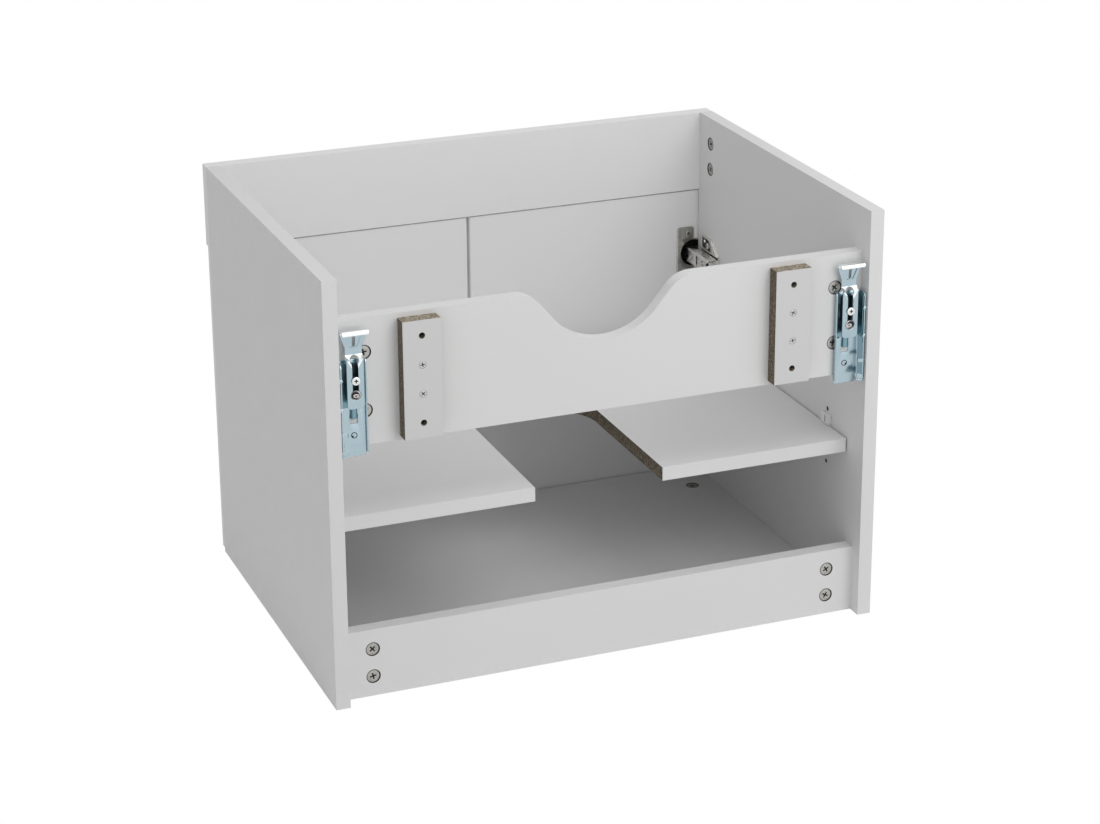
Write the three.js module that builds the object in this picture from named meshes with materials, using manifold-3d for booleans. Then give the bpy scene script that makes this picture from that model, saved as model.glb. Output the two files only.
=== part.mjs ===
// Wall-hung two-door cabinet for under a washbasin: a carcass of 16 mm white melamine board with no top and
// no full back, a fixed panel over two hinged doors, a shelf cut out round the trap, and a pair of
// adjustable steel hangers in the rear corners. Millimetres, +Z up, doors towards -Y, origin on the floor
// plane under the middle of the cabinet. "Right" is +X, the right hand of someone facing the doors.
import * as THREE from 'three';
import { mergeVertices } from 'three/addons/utils/BufferGeometryUtils.js';
import Module from 'manifold-3d';

const wasm = await Module();
wasm.setup();

// ---- board and carcass ----
const BOARD = 16; // thickness of every panel of the carcass
const WIDTH = 636; // over the two side panels
const SIDE_DEPTH = 446; // side panel, front edge to rear edge
const HEIGHT = 480; // side panel
const RAIL_RECESS = 18; // rear edges of the sides stand behind the rails by this much
const UPPER_RAIL_HEIGHT = 140;
const UPPER_RAIL_DROP = 50; // top of the sides down to the top of the upper rail
const LOWER_RAIL_HEIGHT = 78;

// ---- fronts ----
const FRONT_BOARD = 16; // thickness of the fixed front panel
const FRONT_PANEL_HEIGHT = 97.5;
const DOOR_BOARD = 16;
const DOOR_STANDOFF = 2; // door to the front edge of the sides, left by the hinges
const DOOR_SIDE_REVEAL = 2; // door edge inside the outer face of the side
const DOOR_TOP_GAP = 1.5;
const DOOR_BOTTOM_GAP = 1;
const DOOR_MEETING_GAP = 3;
const DOOR_EDGE_RADIUS = 2;

// ---- wavy clearance for the drain in the upper rail ----
const WAVE_DEPTH = 60;
const WAVE_TOP_HALF_WIDTH = 101.5;
const WAVE_VALLEY_RADIUS = 75;
const WAVE_CREST_RADIUS = 35;
const WAVE_FLANK_ANGLE = 50; // degrees from level
const WAVE_STEPS = 9; // facets along each arc

// ---- shelf ----
const SHELF_BOARD = 16;
const SHELF_BOTTOM = 186.5; // underside above the bottom of the sides
const SHELF_END_GAP = 1.5; // shelf end to side panel
const SHELF_REAR_SETBACK = 38; // from the rear edge of the sides
const SHELF_FRONT_SETBACK = 20; // from the front edge of the sides
const SHELF_CUT_WIDTH = 150;
const SHELF_CUT_DEPTH = 242;
const SHELF_CUT_RADIUS = 50;

// ---- shelf pins and their rows of holes ----
const PIN_DIAMETER = 5;
const PIN_HOLE_DIAMETER = 5.6;
const PIN_HOLE_DEPTH = 9;
const PIN_LENGTH = 8;
const PIN_PITCH = 32;
const PIN_ABOVE_SHELF_BOTTOM = 2;
const PIN_ROW_REAR = 88; // from the rear edge of the sides
const PIN_ROW_FRONT = 74; // from the front edge of the sides
const CLIP_WIDTH = 22;
const CLIP_BACK = 1.2; // web between shelf end and side panel
const CLIP_LEDGE = 5; // height of the foot under the shelf
const CLIP_REACH = 12; // foot from the side panel inwards
const CLIP_NOSE_REACH = 5.6;
const CLIP_NOSE_HEIGHT = 13;
const CLIP_NOSE_LIP = 3;
const CLIP_NOSE_GAP = 0.5; // nose over the top face of the shelf

// ---- cam locks ----
const CAM_DIAMETER = 15;
const CAM_DEPTH = 12;
const CAM_SUNK = 0.4; // cam face under the board's face
const CAM_BORE_GAP = 0.3; // round the cam
const CAM_SETBACK = 32; // cam centre from the joint face
const CAM_CROSS_LENGTH = 8.5;
const CAM_CROSS_WIDTH = 1.9;
const CAM_CROSS_DEPTH = 3;
const CAM_ARROW_BASE = 3; // arrow's base inside the cam's rim
const CAM_ARROW_LENGTH = 2.4;
const CAM_ARROW_WIDTH = 3;
const CAM_ARROW_DEPTH = 0.8;
const CAM_TURN = 20; // degrees past the tightened mark, as a cam stops
const UPPER_CAM_DROP = 38; // top of the upper rail down to its first cam
const UPPER_CAM_PITCH = 64;
const LOWER_CAM_RISE = 23; // bottom of the lower rail up to its first cam
const LOWER_CAM_PITCH = 32;
const FRONT_CAM_DROP = 32;
const FRONT_CAM_PITCH = 32;
const BOTTOM_CAM_SETBACK = 62; // from the front edge of the bottom panel

// ---- spacer blocks on the upper rail ----
const BLOCK_BOARD = 16;
const BLOCK_WIDTH = 42;
const BLOCK_HEIGHT = 130;
const BLOCK_FROM_SIDE = 90; // block centre from the side panel's inner face
const BLOCK_RISE = 4.5; // bottom of the rail up to the bottom of the block
const BLOCK_HOLE_PITCH = 32;
const WALL_HOLE_DIAMETER = 7;
const SCREW_HEAD_DIAMETER = 7.5;
const SCREW_SHANK_DIAMETER = 4;
const SCREW_HEAD_HEIGHT = 2.6;
const SCREW_LENGTH = 28;
const SCREW_GAP = 0.3; // round the screw
const SCREW_CROSS_LENGTH = 4.4;
const SCREW_CROSS_WIDTH = 1.1;
const SCREW_CROSS_DEPTH = 1.4;

// ---- concealed door hinges ----
const HINGE_END_DISTANCE = 80; // hinge centre from the door's top and bottom edge
const CUP_DIAMETER = 35;
const CUP_EDGE_DISTANCE = 3; // cup to the door's outer edge
const CUP_DEPTH = 13;
const CUP_WALL = 0.8;
const CUP_BORE_GAP = 0.3;
const CUP_FLANGE = 0.8; // flange and wing on the door's inner face
const WING_HEIGHT = 68;
const WING_WIDTH = 22.7;
const WING_CORNER_RADIUS = 4;
const WING_INSET = 21.8; // wing's inner edge from the cup centre
const WING_SCREW_SPACING = 48;
const WING_SCREW_INSET = 6; // screw row from the cup centre
const WING_SCREW_DIAMETER = 8;
const WING_SCREW_HEIGHT = 2.2;
const PIVOT_FROM_SIDE = 7; // pin axis outside the side's inner face
const PIVOT_BEFORE_EDGE = 11.5; // pin axis in front of the side's front edge
const PIVOT_PIN_DIAMETER = 2.4;
const PIVOT_GAP = 0.3; // eye round the pin
const EYE_DIAMETER = 4.8;
const NECK_WIDTH = 9;
const NECK_THICKNESS = 2.4;
const NECK_END = 6; // under the arm's channel, behind the side's front edge
const ARM_WIDTH = 16;
const ARM_RISE = 17; // arm's outer face from the side panel
const ARM_DEPTH = 11; // of its channel
const ARM_SHEET = 1.5;
const ARM_FRONT = 3; // arm channel starts this far behind the side's front edge
const ARM_END = 64; // and ends this far behind it
const ARM_TAPER = 8; // slope of the arm's free end
const ARM_SCREWS = [23, 49]; // adjusting screws, from the side's front edge
const ARM_SCREW_DIAMETER = 7;
const ARM_SCREW_HEIGHT = 1.4;
const PLATE_SCREW_SETBACK = 37; // row of screws from the front edge of the side
const PLATE_SCREW_SPACING = 32;
const PLATE_SCREW_DIAMETER = 9;
const PLATE_SCREW_HEIGHT = 1.2;
const PLATE_HEIGHT = 58;
const PLATE_WING_START = 14; // wing's front edge from the front edge of the side
const PLATE_WING_END = 62; // wing's foot, beside the arm
const PLATE_WING_TIP = 18; // wing's width at its tip
const PLATE_WING_FOOT = 9; // height of the foot over the hinge's middle
const PLATE_WING_THICKNESS = 3;
const PLATE_BASE_START = 14; // from the front edge of the side
const PLATE_BASE_END = 60;
const ARM_TO_PLATE_GAP = 0.3;

// ---- hangers: heights are drops from, or rises over, the housing's top ----
const HANGER_DROP = 43; // top of the upper rail down to the housing's top
const HANGER_SHEET = 1.5;
const HANGER_BEND = 2; // centreline radius of the channel's bends
const HANGER_WIDTH = 31;
const HANGER_SIDE_GAP = 1.5; // housing to side panel
const HANGER_HEIGHT = 103;
const HANGER_DEPTH = 15;
const HANGER_CORNER = 5; // cut off each flange corner
const PEG_DIAMETER = 8;
const PEG_COLLAR_DIAMETER = 10;
const PEG_LENGTH = 8;
const PEG_BORE_GAP = 0.3;
const PEG_BORE_DEPTH = 10;
const PEG_DROP = 18; // housing's top down to its first peg
const PEG_PITCH = 32;
const LUG_DROP = 78; // half-round lug over the outer flange
const LUG_DIAMETER = 8;
const LUG_WIDTH = 4;
const TAB_DROP = 99; // tilted tab at the foot of the outer flange
const TAB_SIZE = 8;
const TAB_TILT = 18; // degrees
const TAB_INSET = 5.4; // tab's middle from the side panel
const TAB_LIP = 3; // width of its turned edge
const TONGUE_DIAMETER = 8; // half-round tongue pressed out of the base
const TONGUE_DROP = 49;
const TONGUE_LENGTH = 13;
const WINDOW_LENGTH = 6; // open below the tongue
const MARK_DROP = 84; // round pressed mark
const MARK_DIAMETER = 7;
const PRESS_DEPTH = 0.5; // of the pressed mark and of the tongue's root
const HOOK_SHEET = 2;
const HOOK_BEND = 2; // centreline radius of the hook's bends
const HOOK_WIDTH = 18.5;
const HOOK_CORNER_RADIUS = 4;
const HOOK_OFFSET = 17.1; // hook's centre line from the housing's outer flange face
const HOOK_BEHIND = 5.6; // hook plate in front of the side's rear edge
const HOOK_LENGTH = 45; // plate below its bevel
const HOOK_BEVEL_DROP = 6; // housing's top down to the foot of the bevel
const BEVEL_HEIGHT = 12;
const BEVEL_DEPTH = 5;
const NECK_HEIGHT = 10;
const CLAW_HEIGHT = 18;
const CLAW_DEPTH = 2.5; // claw leans back towards the wall by this much
const CLAW_HALF_WIDTH = 14.4;
const CLAW_LIP_LENGTH = 6;
const CLAW_LIP_RISE = 1.5;
const CLAW_SLOT_WIDTH = 3.4;
const CLAW_SLOT_LENGTH = 9;
const SWAGE_HEIGHT = 0.5; // raised panel on the claw
const SWAGE_TOP_WIDTH = 19;
const SWAGE_BOTTOM_WIDTH = 10;
const SWAGE_LENGTH = 13;
const KEYHOLE_RISE = 1.5;
const KEYHOLE_DIAMETER = 10;
const SLOT_WIDTH = 6.4;
const CLAMP_DROP = 20; // clamp screw's axis
const CLAMP_HEAD_DIAMETER = 9;
const CLAMP_HEAD_HEIGHT = 2.1;
const CLAMP_SHANK_DIAMETER = 4.6;
const CLAMP_SHANK_LENGTH = 8;
const CLAMP_BOSS_DIAMETER = 8.5;
const ADJUSTER_DROP = 36; // height screw's axis
const ADJUSTER_HOLE_DIAMETER = 11;
const ADJUSTER_HEAD_DIAMETER = 10.4;
const ADJUSTER_SHOULDER_DIAMETER = 12;
const ADJUSTER_SHOULDER_HEIGHT = 1.5;
const ADJUSTER_CROSS_LENGTH = 6.2;
const HANGER_GAP = 0.3; // between hanger parts that slide on each other

const ROUND = 24; // facets of a full circle on large bores
const SMALL_ROUND = 12;
const OVERCUT = 1; // how far a cutter passes a face, or a joined part sinks into the next

// ---- derived places ----
const HALF_WIDTH = WIDTH / 2;
const SIDE_INNER = HALF_WIDTH - BOARD;
const BLOCK_X = SIDE_INNER - BLOCK_FROM_SIDE;
const REAR_Y = (SIDE_DEPTH + DOOR_STANDOFF + DOOR_BOARD) / 2;
const behind = (setback) => REAR_Y - setback; // y of a plane so far in front of the sides' rear edges
const FRONT_EDGE_Y = behind(SIDE_DEPTH);
const RAIL_REAR_Y = behind(RAIL_RECESS);
const RAIL_FRONT_Y = RAIL_REAR_Y - BOARD;
const UPPER_RAIL_TOP = HEIGHT - UPPER_RAIL_DROP;
const UPPER_RAIL_BOTTOM = UPPER_RAIL_TOP - UPPER_RAIL_HEIGHT;
const FRONT_PANEL_BOTTOM = HEIGHT - FRONT_PANEL_HEIGHT;
const DOOR_TOP = FRONT_PANEL_BOTTOM - DOOR_TOP_GAP;
const DOOR_INNER_Y = FRONT_EDGE_Y - DOOR_STANDOFF;
const DOOR_OUTER_X = HALF_WIDTH - DOOR_SIDE_REVEAL;
const SHELF_TOP = SHELF_BOTTOM + SHELF_BOARD;
const SHELF_REAR_Y = behind(SHELF_REAR_SETBACK);
const SHELF_FRONT_Y = FRONT_EDGE_Y + SHELF_FRONT_SETBACK;
const SHELF_END_X = SIDE_INNER - SHELF_END_GAP;
const PIN_Z = SHELF_BOTTOM + PIN_ABOVE_SHELF_BOTTOM;
const PIN_ROWS_Y = [behind(PIN_ROW_REAR), FRONT_EDGE_Y + PIN_ROW_FRONT];
const CAM_BORE_DEPTH = CAM_DEPTH + CAM_SUNK;
const RAIL_CAM_X = SIDE_INNER - CAM_SETBACK;
const UPPER_CAM_Z = [0, 1].map((i) => UPPER_RAIL_TOP - UPPER_CAM_DROP - i * UPPER_CAM_PITCH);
const LOWER_CAM_Z = [0, 1].map((i) => LOWER_CAM_RISE + i * LOWER_CAM_PITCH).reverse();
const FRONT_CAM_Z = [0, 1].map((i) => HEIGHT - FRONT_CAM_DROP - i * FRONT_CAM_PITCH);
const FRONT_CAM_Y = FRONT_EDGE_Y + CAM_SETBACK;
const BOTTOM_CAM_Y = FRONT_EDGE_Y + BOTTOM_CAM_SETBACK;
const BLOCK_BOTTOM = UPPER_RAIL_BOTTOM + BLOCK_RISE;
const BLOCK_REAR_Y = RAIL_REAR_Y + BLOCK_BOARD;
const BLOCK_CENTRE_Z = BLOCK_BOTTOM + BLOCK_HEIGHT / 2;
const WALL_HOLE_Z = [1.5, -1.5].map((n) => BLOCK_CENTRE_Z + n * BLOCK_HOLE_PITCH);
const BLOCK_SCREW_Z = [0.5, -0.5].map((n) => BLOCK_CENTRE_Z + n * BLOCK_HOLE_PITCH);
const HINGE_Z = [DOOR_TOP - HINGE_END_DISTANCE, DOOR_BOTTOM_GAP + HINGE_END_DISTANCE];
const CUP_X = DOOR_OUTER_X - CUP_EDGE_DISTANCE - CUP_DIAMETER / 2;
const CUP_FLOOR_Y = DOOR_INNER_Y - CUP_DEPTH + CUP_WALL;
const CUP_FLANGE_Y = DOOR_INNER_Y + CUP_FLANGE;
const WING_SCREW_X = CUP_X - WING_SCREW_INSET;
const PIVOT_X = SIDE_INNER + PIVOT_FROM_SIDE;
const PIVOT_Y = FRONT_EDGE_Y - PIVOT_BEFORE_EDGE;
const ARM_OUTER_X = SIDE_INNER - ARM_RISE;
const ARM_WEB_X = ARM_OUTER_X + ARM_SHEET;
const PLATE_Y = FRONT_EDGE_Y + PLATE_SCREW_SETBACK;
const HANGER_OUTER_X = SIDE_INNER - HANGER_SIDE_GAP;
const HANGER_INNER_X = HANGER_OUTER_X - HANGER_WIDTH;
const HANGER_TOP = UPPER_RAIL_TOP - HANGER_DROP;
const HANGER_BOTTOM = HANGER_TOP - HANGER_HEIGHT;
const HANGER_BASE_Y = RAIL_REAR_Y + HANGER_SHEET;
const HANGER_RIM_Y = RAIL_REAR_Y + HANGER_DEPTH;
const HOOK_X = HANGER_OUTER_X - HOOK_OFFSET;
const HOOK_REAR_Y = behind(HOOK_BEHIND);
const HOOK_FRONT_Y = HOOK_REAR_Y - HOOK_SHEET;
const PEG_Z = [0, 1].map((i) => HANGER_TOP - PEG_DROP - i * PEG_PITCH);
const PEG_Y = (HANGER_BASE_Y + HANGER_RIM_Y) / 2;
const BEVEL_FOOT_Z = HANGER_TOP - HOOK_BEVEL_DROP;
const HOOK_BOTTOM_Z = BEVEL_FOOT_Z - HOOK_LENGTH;
const NECK_Z = BEVEL_FOOT_Z + BEVEL_HEIGHT;
const CLAW_Z = NECK_Z + NECK_HEIGHT;
const CLAW_TOP_Z = CLAW_Z + CLAW_HEIGHT;
const CLAMP_Z = HANGER_TOP - CLAMP_DROP;
const ADJUSTER_Z = HANGER_TOP - ADJUSTER_DROP;
const KEYHOLE_Z = HANGER_TOP + KEYHOLE_RISE;

const SIDES = [['right', 1], ['left', -1]];
const LEVELS = ['upper', 'lower'];

// ---- solids ----
const solidOf = (geometry) => {
  const bare = geometry.clone();
  bare.deleteAttribute('normal');
  bare.deleteAttribute('uv');
  const merged = mergeVertices(bare, 1e-4);
  const mesh = new wasm.Mesh({
    numProp: 3,
    vertProperties: new Float32Array(merged.attributes.position.array),
    triVerts: new Uint32Array(merged.index.array),
  });
  return new wasm.Manifold(mesh);
};

const geometryOf = (solid) => {
  const { numProp, vertProperties, triVerts } = solid.getMesh();
  const points = new Float32Array((vertProperties.length / numProp) * 3);
  for (let i = 0; i < points.length / 3; i++) {
    points.set(vertProperties.slice(i * numProp, i * numProp + 3), i * 3);
  }
  const geometry = new THREE.BufferGeometry();
  geometry.setAttribute('position', new THREE.BufferAttribute(points, 3));
  geometry.setIndex(new THREE.BufferAttribute(new Uint32Array(triVerts), 1));
  geometry.computeVertexNormals();
  return geometry;
};

const join = (solids) => solids.reduce((all, one) => all.add(one));
const cutAll = (solid, cutters) => cutters.reduce((rest, one) => rest.subtract(one), solid);

const box = (x0, x1, y0, y1, z0, z1) => {
  const geometry = new THREE.BoxGeometry(Math.abs(x1 - x0), Math.abs(y1 - y0), Math.abs(z1 - z0));
  geometry.translate((x0 + x1) / 2, (y0 + y1) / 2, (z0 + z1) / 2);
  return solidOf(geometry);
};

// A round bar or, with a second radius, a cone along an axis, from one coordinate to another.
const rod = (axis, at, from, to, radius, facets = ROUND, endRadius = radius) => {
  const geometry = new THREE.CylinderGeometry(endRadius, radius, Math.abs(to - from), facets);
  if (to < from) geometry.rotateX(Math.PI);
  geometry.translate(0, (from + to) / 2, 0);
  if (axis === 'x') geometry.rotateZ(-Math.PI / 2);
  if (axis === 'z') geometry.rotateX(Math.PI / 2);
  const [u, v] = at;
  if (axis === 'x') geometry.translate(0, u, v);
  if (axis === 'y') geometry.translate(u, 0, v);
  if (axis === 'z') geometry.translate(u, v, 0);
  return solidOf(geometry);
};

const shapeOf = (points) => new THREE.Shape(points.map(([u, v]) => new THREE.Vector2(u, v)));

// A flat outline given as x and z, standing across the cabinet between two depths.
const plateAcross = (shape, y0, y1, curveSegments = 6) => {
  const geometry = new THREE.ExtrudeGeometry(shape, { depth: y1 - y0, bevelEnabled: false, curveSegments });
  geometry.rotateX(Math.PI / 2);
  geometry.translate(0, y1, 0);
  return solidOf(geometry);
};

// A flat outline given as x and y, lying level between two heights.
const plateLevel = (shape, z0, z1, curveSegments = 6) => {
  const geometry = new THREE.ExtrudeGeometry(shape, { depth: z1 - z0, bevelEnabled: false, curveSegments });
  geometry.translate(0, 0, z0);
  return solidOf(geometry);
};

// A flat outline given as y and z, standing along the cabinet's depth between two x values.
const plateAlong = (shape, x0, x1, curveSegments = 6) => {
  const geometry = new THREE.ExtrudeGeometry(shape, { depth: x1 - x0, bevelEnabled: false, curveSegments });
  geometry.rotateX(Math.PI / 2);
  geometry.rotateZ(Math.PI / 2);
  geometry.translate(x0, 0, 0);
  return solidOf(geometry);
};

const roundedRect = (u0, u1, v0, v1, radius) => {
  const shape = new THREE.Shape();
  shape.moveTo(u0 + radius, v0);
  shape.lineTo(u1 - radius, v0);
  shape.absarc(u1 - radius, v0 + radius, radius, -Math.PI / 2, 0);
  shape.lineTo(u1, v1 - radius);
  shape.absarc(u1 - radius, v1 - radius, radius, 0, Math.PI / 2);
  shape.lineTo(u0 + radius, v1);
  shape.absarc(u0 + radius, v1 - radius, radius, Math.PI / 2, Math.PI);
  shape.lineTo(u0, v0 + radius);
  shape.absarc(u0 + radius, v0 + radius, radius, Math.PI, 1.5 * Math.PI);
  return shape;
};

// Outline of a bent sheet from its centreline: corners rounded to one radius, then half a sheet each way.
const bentSheet = (corners, radius, thickness, steps = 3) => {
  const line = [];
  corners.forEach(([u, v], i) => {
    const here = new THREE.Vector2(u, v);
    if (i === 0 || i === corners.length - 1) {
      line.push(here);
      return;
    }
    const before = new THREE.Vector2(...corners[i - 1]).sub(here).normalize();
    const after = new THREE.Vector2(...corners[i + 1]).sub(here).normalize();
    const halfAngle = Math.acos(THREE.MathUtils.clamp(before.dot(after), -1, 1)) / 2;
    const back = radius / Math.tan(halfAngle);
    const start = here.clone().addScaledVector(before, back);
    const end = here.clone().addScaledVector(after, back);
    const curve = new THREE.QuadraticBezierCurve(start, here, end);
    line.push(...curve.getPoints(steps));
  });
  const offset = (sign) => line.map((point, i) => {
    const from = line[Math.max(i - 1, 0)];
    const to = line[Math.min(i + 1, line.length - 1)];
    const along = to.clone().sub(from).normalize();
    const normal = new THREE.Vector2(-along.y, along.x);
    return point.clone().addScaledVector(normal, (sign * thickness) / 2);
  });
  return new THREE.Shape([...offset(1), ...offset(-1).reverse()]);
};

const mirrored = (solid, side) => (side > 0 ? solid : solid.mirror([1, 0, 0]));

// ---- materials ----
const paint = (color, roughness, metalness = 0) => () =>
  new THREE.MeshStandardMaterial({ color, roughness, metalness });
const melamine = paint(0xe9e8ea, 0.55);
const zincPlate = paint(0xb9c6cf, 0.3, 0.9);
const nickelPlate = paint(0x9a9a98, 0.3, 0.95);
const camZinc = paint(0xb4b2ae, 0.45, 0.8);
const clearPlastic = paint(0xd8d8d6, 0.35);

const cabinet = new THREE.Group();
const place = (name, solid, material) => {
  const mesh = new THREE.Mesh(geometryOf(solid), material());
  mesh.name = name;
  cabinet.add(mesh);
};

// ---- cam locks ----
// A cam is modelled with its face at height 0, sunk along -Z, then laid into its bore.
const camSolid = () => {
  const body = rod('z', [0, 0], -CAM_DEPTH, 0, CAM_DIAMETER / 2, ROUND);
  const halfCross = CAM_CROSS_LENGTH / 2;
  const halfBlade = CAM_CROSS_WIDTH / 2;
  const cross = [
    box(-halfCross, halfCross, -halfBlade, halfBlade, -CAM_CROSS_DEPTH, OVERCUT),
    box(-halfBlade, halfBlade, -halfCross, halfCross, -CAM_CROSS_DEPTH, OVERCUT),
  ];
  const arrowBase = CAM_DIAMETER / 2 - CAM_ARROW_BASE;
  const arrow = shapeOf([
    [arrowBase, -CAM_ARROW_WIDTH / 2],
    [arrowBase + CAM_ARROW_LENGTH, 0],
    [arrowBase, CAM_ARROW_WIDTH / 2],
  ]);
  return cutAll(body, [...cross, plateLevel(arrow, -CAM_ARROW_DEPTH, OVERCUT)]);
};

const laidCam = (facing, at) => {
  const cam = camSolid().rotate([0, 0, CAM_TURN]);
  const turned = { up: cam, rear: cam.rotate([-90, 0, 0]), left: cam.rotate([0, -90, 0]) }[facing];
  return turned.translate(at);
};

const camBore = (axis, at, face, inward) =>
  rod(axis, at, face + inward * CAM_BORE_DEPTH, face - inward * OVERCUT, CAM_DIAMETER / 2 + CAM_BORE_GAP);

// ---- carcass panels ----
const sidePanel = () => {
  const panel = box(SIDE_INNER, HALF_WIDTH, FRONT_EDGE_Y, REAR_Y, 0, HEIGHT);
  const camBores = FRONT_CAM_Z.map((z) => camBore('x', [FRONT_CAM_Y, z], SIDE_INNER, 1));
  const pinHoles = PIN_ROWS_Y.flatMap((y) =>
    [-1, 0, 1].map((n) =>
      rod('x', [y, PIN_Z + n * PIN_PITCH], SIDE_INNER - OVERCUT, SIDE_INNER + PIN_HOLE_DEPTH,
        PIN_HOLE_DIAMETER / 2, SMALL_ROUND)));
  const pegBores = PEG_Z.map((z) =>
    rod('x', [PEG_Y, z], SIDE_INNER - OVERCUT, SIDE_INNER + PEG_BORE_DEPTH, PEG_DIAMETER / 2 + PEG_BORE_GAP,
      SMALL_ROUND));
  return cutAll(panel, [...camBores, ...pinHoles, ...pegBores]);
};

const bottomPanel = () => {
  const panel = box(-SIDE_INNER, SIDE_INNER, FRONT_EDGE_Y, RAIL_FRONT_Y, 0, BOARD);
  return cutAll(panel, SIDES.map(([, side]) => camBore('z', [side * RAIL_CAM_X, BOTTOM_CAM_Y], BOARD, -1)));
};

const lowerRail = () => {
  const rail = box(-SIDE_INNER, SIDE_INNER, RAIL_FRONT_Y, RAIL_REAR_Y, 0, LOWER_RAIL_HEIGHT);
  const bores = SIDES.flatMap(([, side]) =>
    LOWER_CAM_Z.map((z) => camBore('y', [side * RAIL_CAM_X, z], RAIL_REAR_Y, -1)));
  return cutAll(rail, bores);
};

// Half of the wave from the middle of the valley to the crest: a hollow arc, a straight flank, a round arc.
const waveHalf = () => {
  const flank = THREE.MathUtils.degToRad(WAVE_FLANK_ANGLE);
  const valley = UPPER_RAIL_TOP - WAVE_DEPTH;
  const points = [];
  for (let i = 0; i <= WAVE_STEPS; i++) {
    const angle = (flank * i) / WAVE_STEPS;
    points.push([
      WAVE_VALLEY_RADIUS * Math.sin(angle),
      valley + WAVE_VALLEY_RADIUS * (1 - Math.cos(angle)),
    ]);
  }
  for (let i = WAVE_STEPS; i >= 0; i--) {
    const angle = (flank * i) / WAVE_STEPS;
    points.push([
      WAVE_TOP_HALF_WIDTH - WAVE_CREST_RADIUS * Math.sin(angle),
      UPPER_RAIL_TOP - WAVE_CREST_RADIUS * (1 - Math.cos(angle)),
    ]);
  }
  return points;
};

const upperRail = () => {
  const half = waveHalf();
  const outline = shapeOf([
    [-SIDE_INNER, UPPER_RAIL_BOTTOM],
    [SIDE_INNER, UPPER_RAIL_BOTTOM],
    [SIDE_INNER, UPPER_RAIL_TOP],
    ...[...half].reverse(),
    ...half.slice(1).map(([x, z]) => [-x, z]),
    [-SIDE_INNER, UPPER_RAIL_TOP],
  ]);
  const rail = plateAcross(outline, RAIL_FRONT_Y, RAIL_REAR_Y);
  const camBores = SIDES.flatMap(([, side]) =>
    UPPER_CAM_Z.map((z) => camBore('y', [side * RAIL_CAM_X, z], RAIL_REAR_Y, -1)));
  const wallHoles = SIDES.flatMap(([, side]) =>
    WALL_HOLE_Z.map((z) =>
      rod('y', [side * BLOCK_X, z], RAIL_FRONT_Y - OVERCUT, RAIL_REAR_Y + OVERCUT, WALL_HOLE_DIAMETER / 2,
        SMALL_ROUND)));
  const screwHoles = SIDES.flatMap(([, side]) =>
    BLOCK_SCREW_Z.map((z) =>
      rod('y', [side * BLOCK_X, z], BLOCK_REAR_Y - SCREW_LENGTH - SCREW_GAP, RAIL_REAR_Y + OVERCUT,
        SCREW_SHANK_DIAMETER / 2 + SCREW_GAP, SMALL_ROUND)));
  return cutAll(rail, [...camBores, ...wallHoles, ...screwHoles]);
};

const frontPanel = () =>
  box(-HALF_WIDTH, HALF_WIDTH, FRONT_EDGE_Y - FRONT_BOARD, FRONT_EDGE_Y, FRONT_PANEL_BOTTOM, HEIGHT);

const shelf = () => {
  const cutHalf = SHELF_CUT_WIDTH / 2;
  const cutFrontY = SHELF_REAR_Y - SHELF_CUT_DEPTH;
  const outline = new THREE.Shape();
  outline.moveTo(-SHELF_END_X, SHELF_FRONT_Y);
  outline.lineTo(SHELF_END_X, SHELF_FRONT_Y);
  outline.lineTo(SHELF_END_X, SHELF_REAR_Y);
  outline.lineTo(cutHalf, SHELF_REAR_Y);
  outline.lineTo(cutHalf, cutFrontY + SHELF_CUT_RADIUS);
  outline.absarc(cutHalf - SHELF_CUT_RADIUS, cutFrontY + SHELF_CUT_RADIUS, SHELF_CUT_RADIUS,
    0, -Math.PI / 2, true);
  outline.lineTo(SHELF_CUT_RADIUS - cutHalf, cutFrontY);
  outline.absarc(SHELF_CUT_RADIUS - cutHalf, cutFrontY + SHELF_CUT_RADIUS, SHELF_CUT_RADIUS,
    -Math.PI / 2, -Math.PI, true);
  outline.lineTo(-cutHalf, SHELF_REAR_Y);
  outline.lineTo(-SHELF_END_X, SHELF_REAR_Y);
  return plateLevel(outline, SHELF_BOTTOM, SHELF_TOP, 10);
};

// Clear plastic clip: a foot under the shelf, a thin web past its end and a sprung nose over it.
const shelfClip = (y) => {
  const webX = SIDE_INNER - CLIP_BACK;
  const noseBottom = SHELF_TOP + CLIP_NOSE_GAP;
  const profile = shapeOf([
    [SIDE_INNER, SHELF_BOTTOM - CLIP_LEDGE],
    [SIDE_INNER, noseBottom + CLIP_NOSE_HEIGHT],
    [webX, noseBottom + CLIP_NOSE_HEIGHT],
    [SIDE_INNER - CLIP_NOSE_REACH, noseBottom + CLIP_NOSE_LIP],
    [SIDE_INNER - CLIP_NOSE_REACH, noseBottom],
    [webX, noseBottom],
    [webX, SHELF_BOTTOM],
    [SIDE_INNER - CLIP_REACH, SHELF_BOTTOM],
    [SIDE_INNER - CLIP_REACH, SHELF_BOTTOM - CLIP_LEDGE / 2],
    [SIDE_INNER - CLIP_REACH / 2, SHELF_BOTTOM - CLIP_LEDGE],
  ].reverse());
  const body = plateAcross(profile, y - CLIP_WIDTH / 2, y + CLIP_WIDTH / 2);
  const pin = rod('x', [y, PIN_Z], SIDE_INNER - CLIP_BACK / 2, SIDE_INNER + PIN_LENGTH, PIN_DIAMETER / 2,
    SMALL_ROUND);
  return body.add(pin);
};

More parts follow.
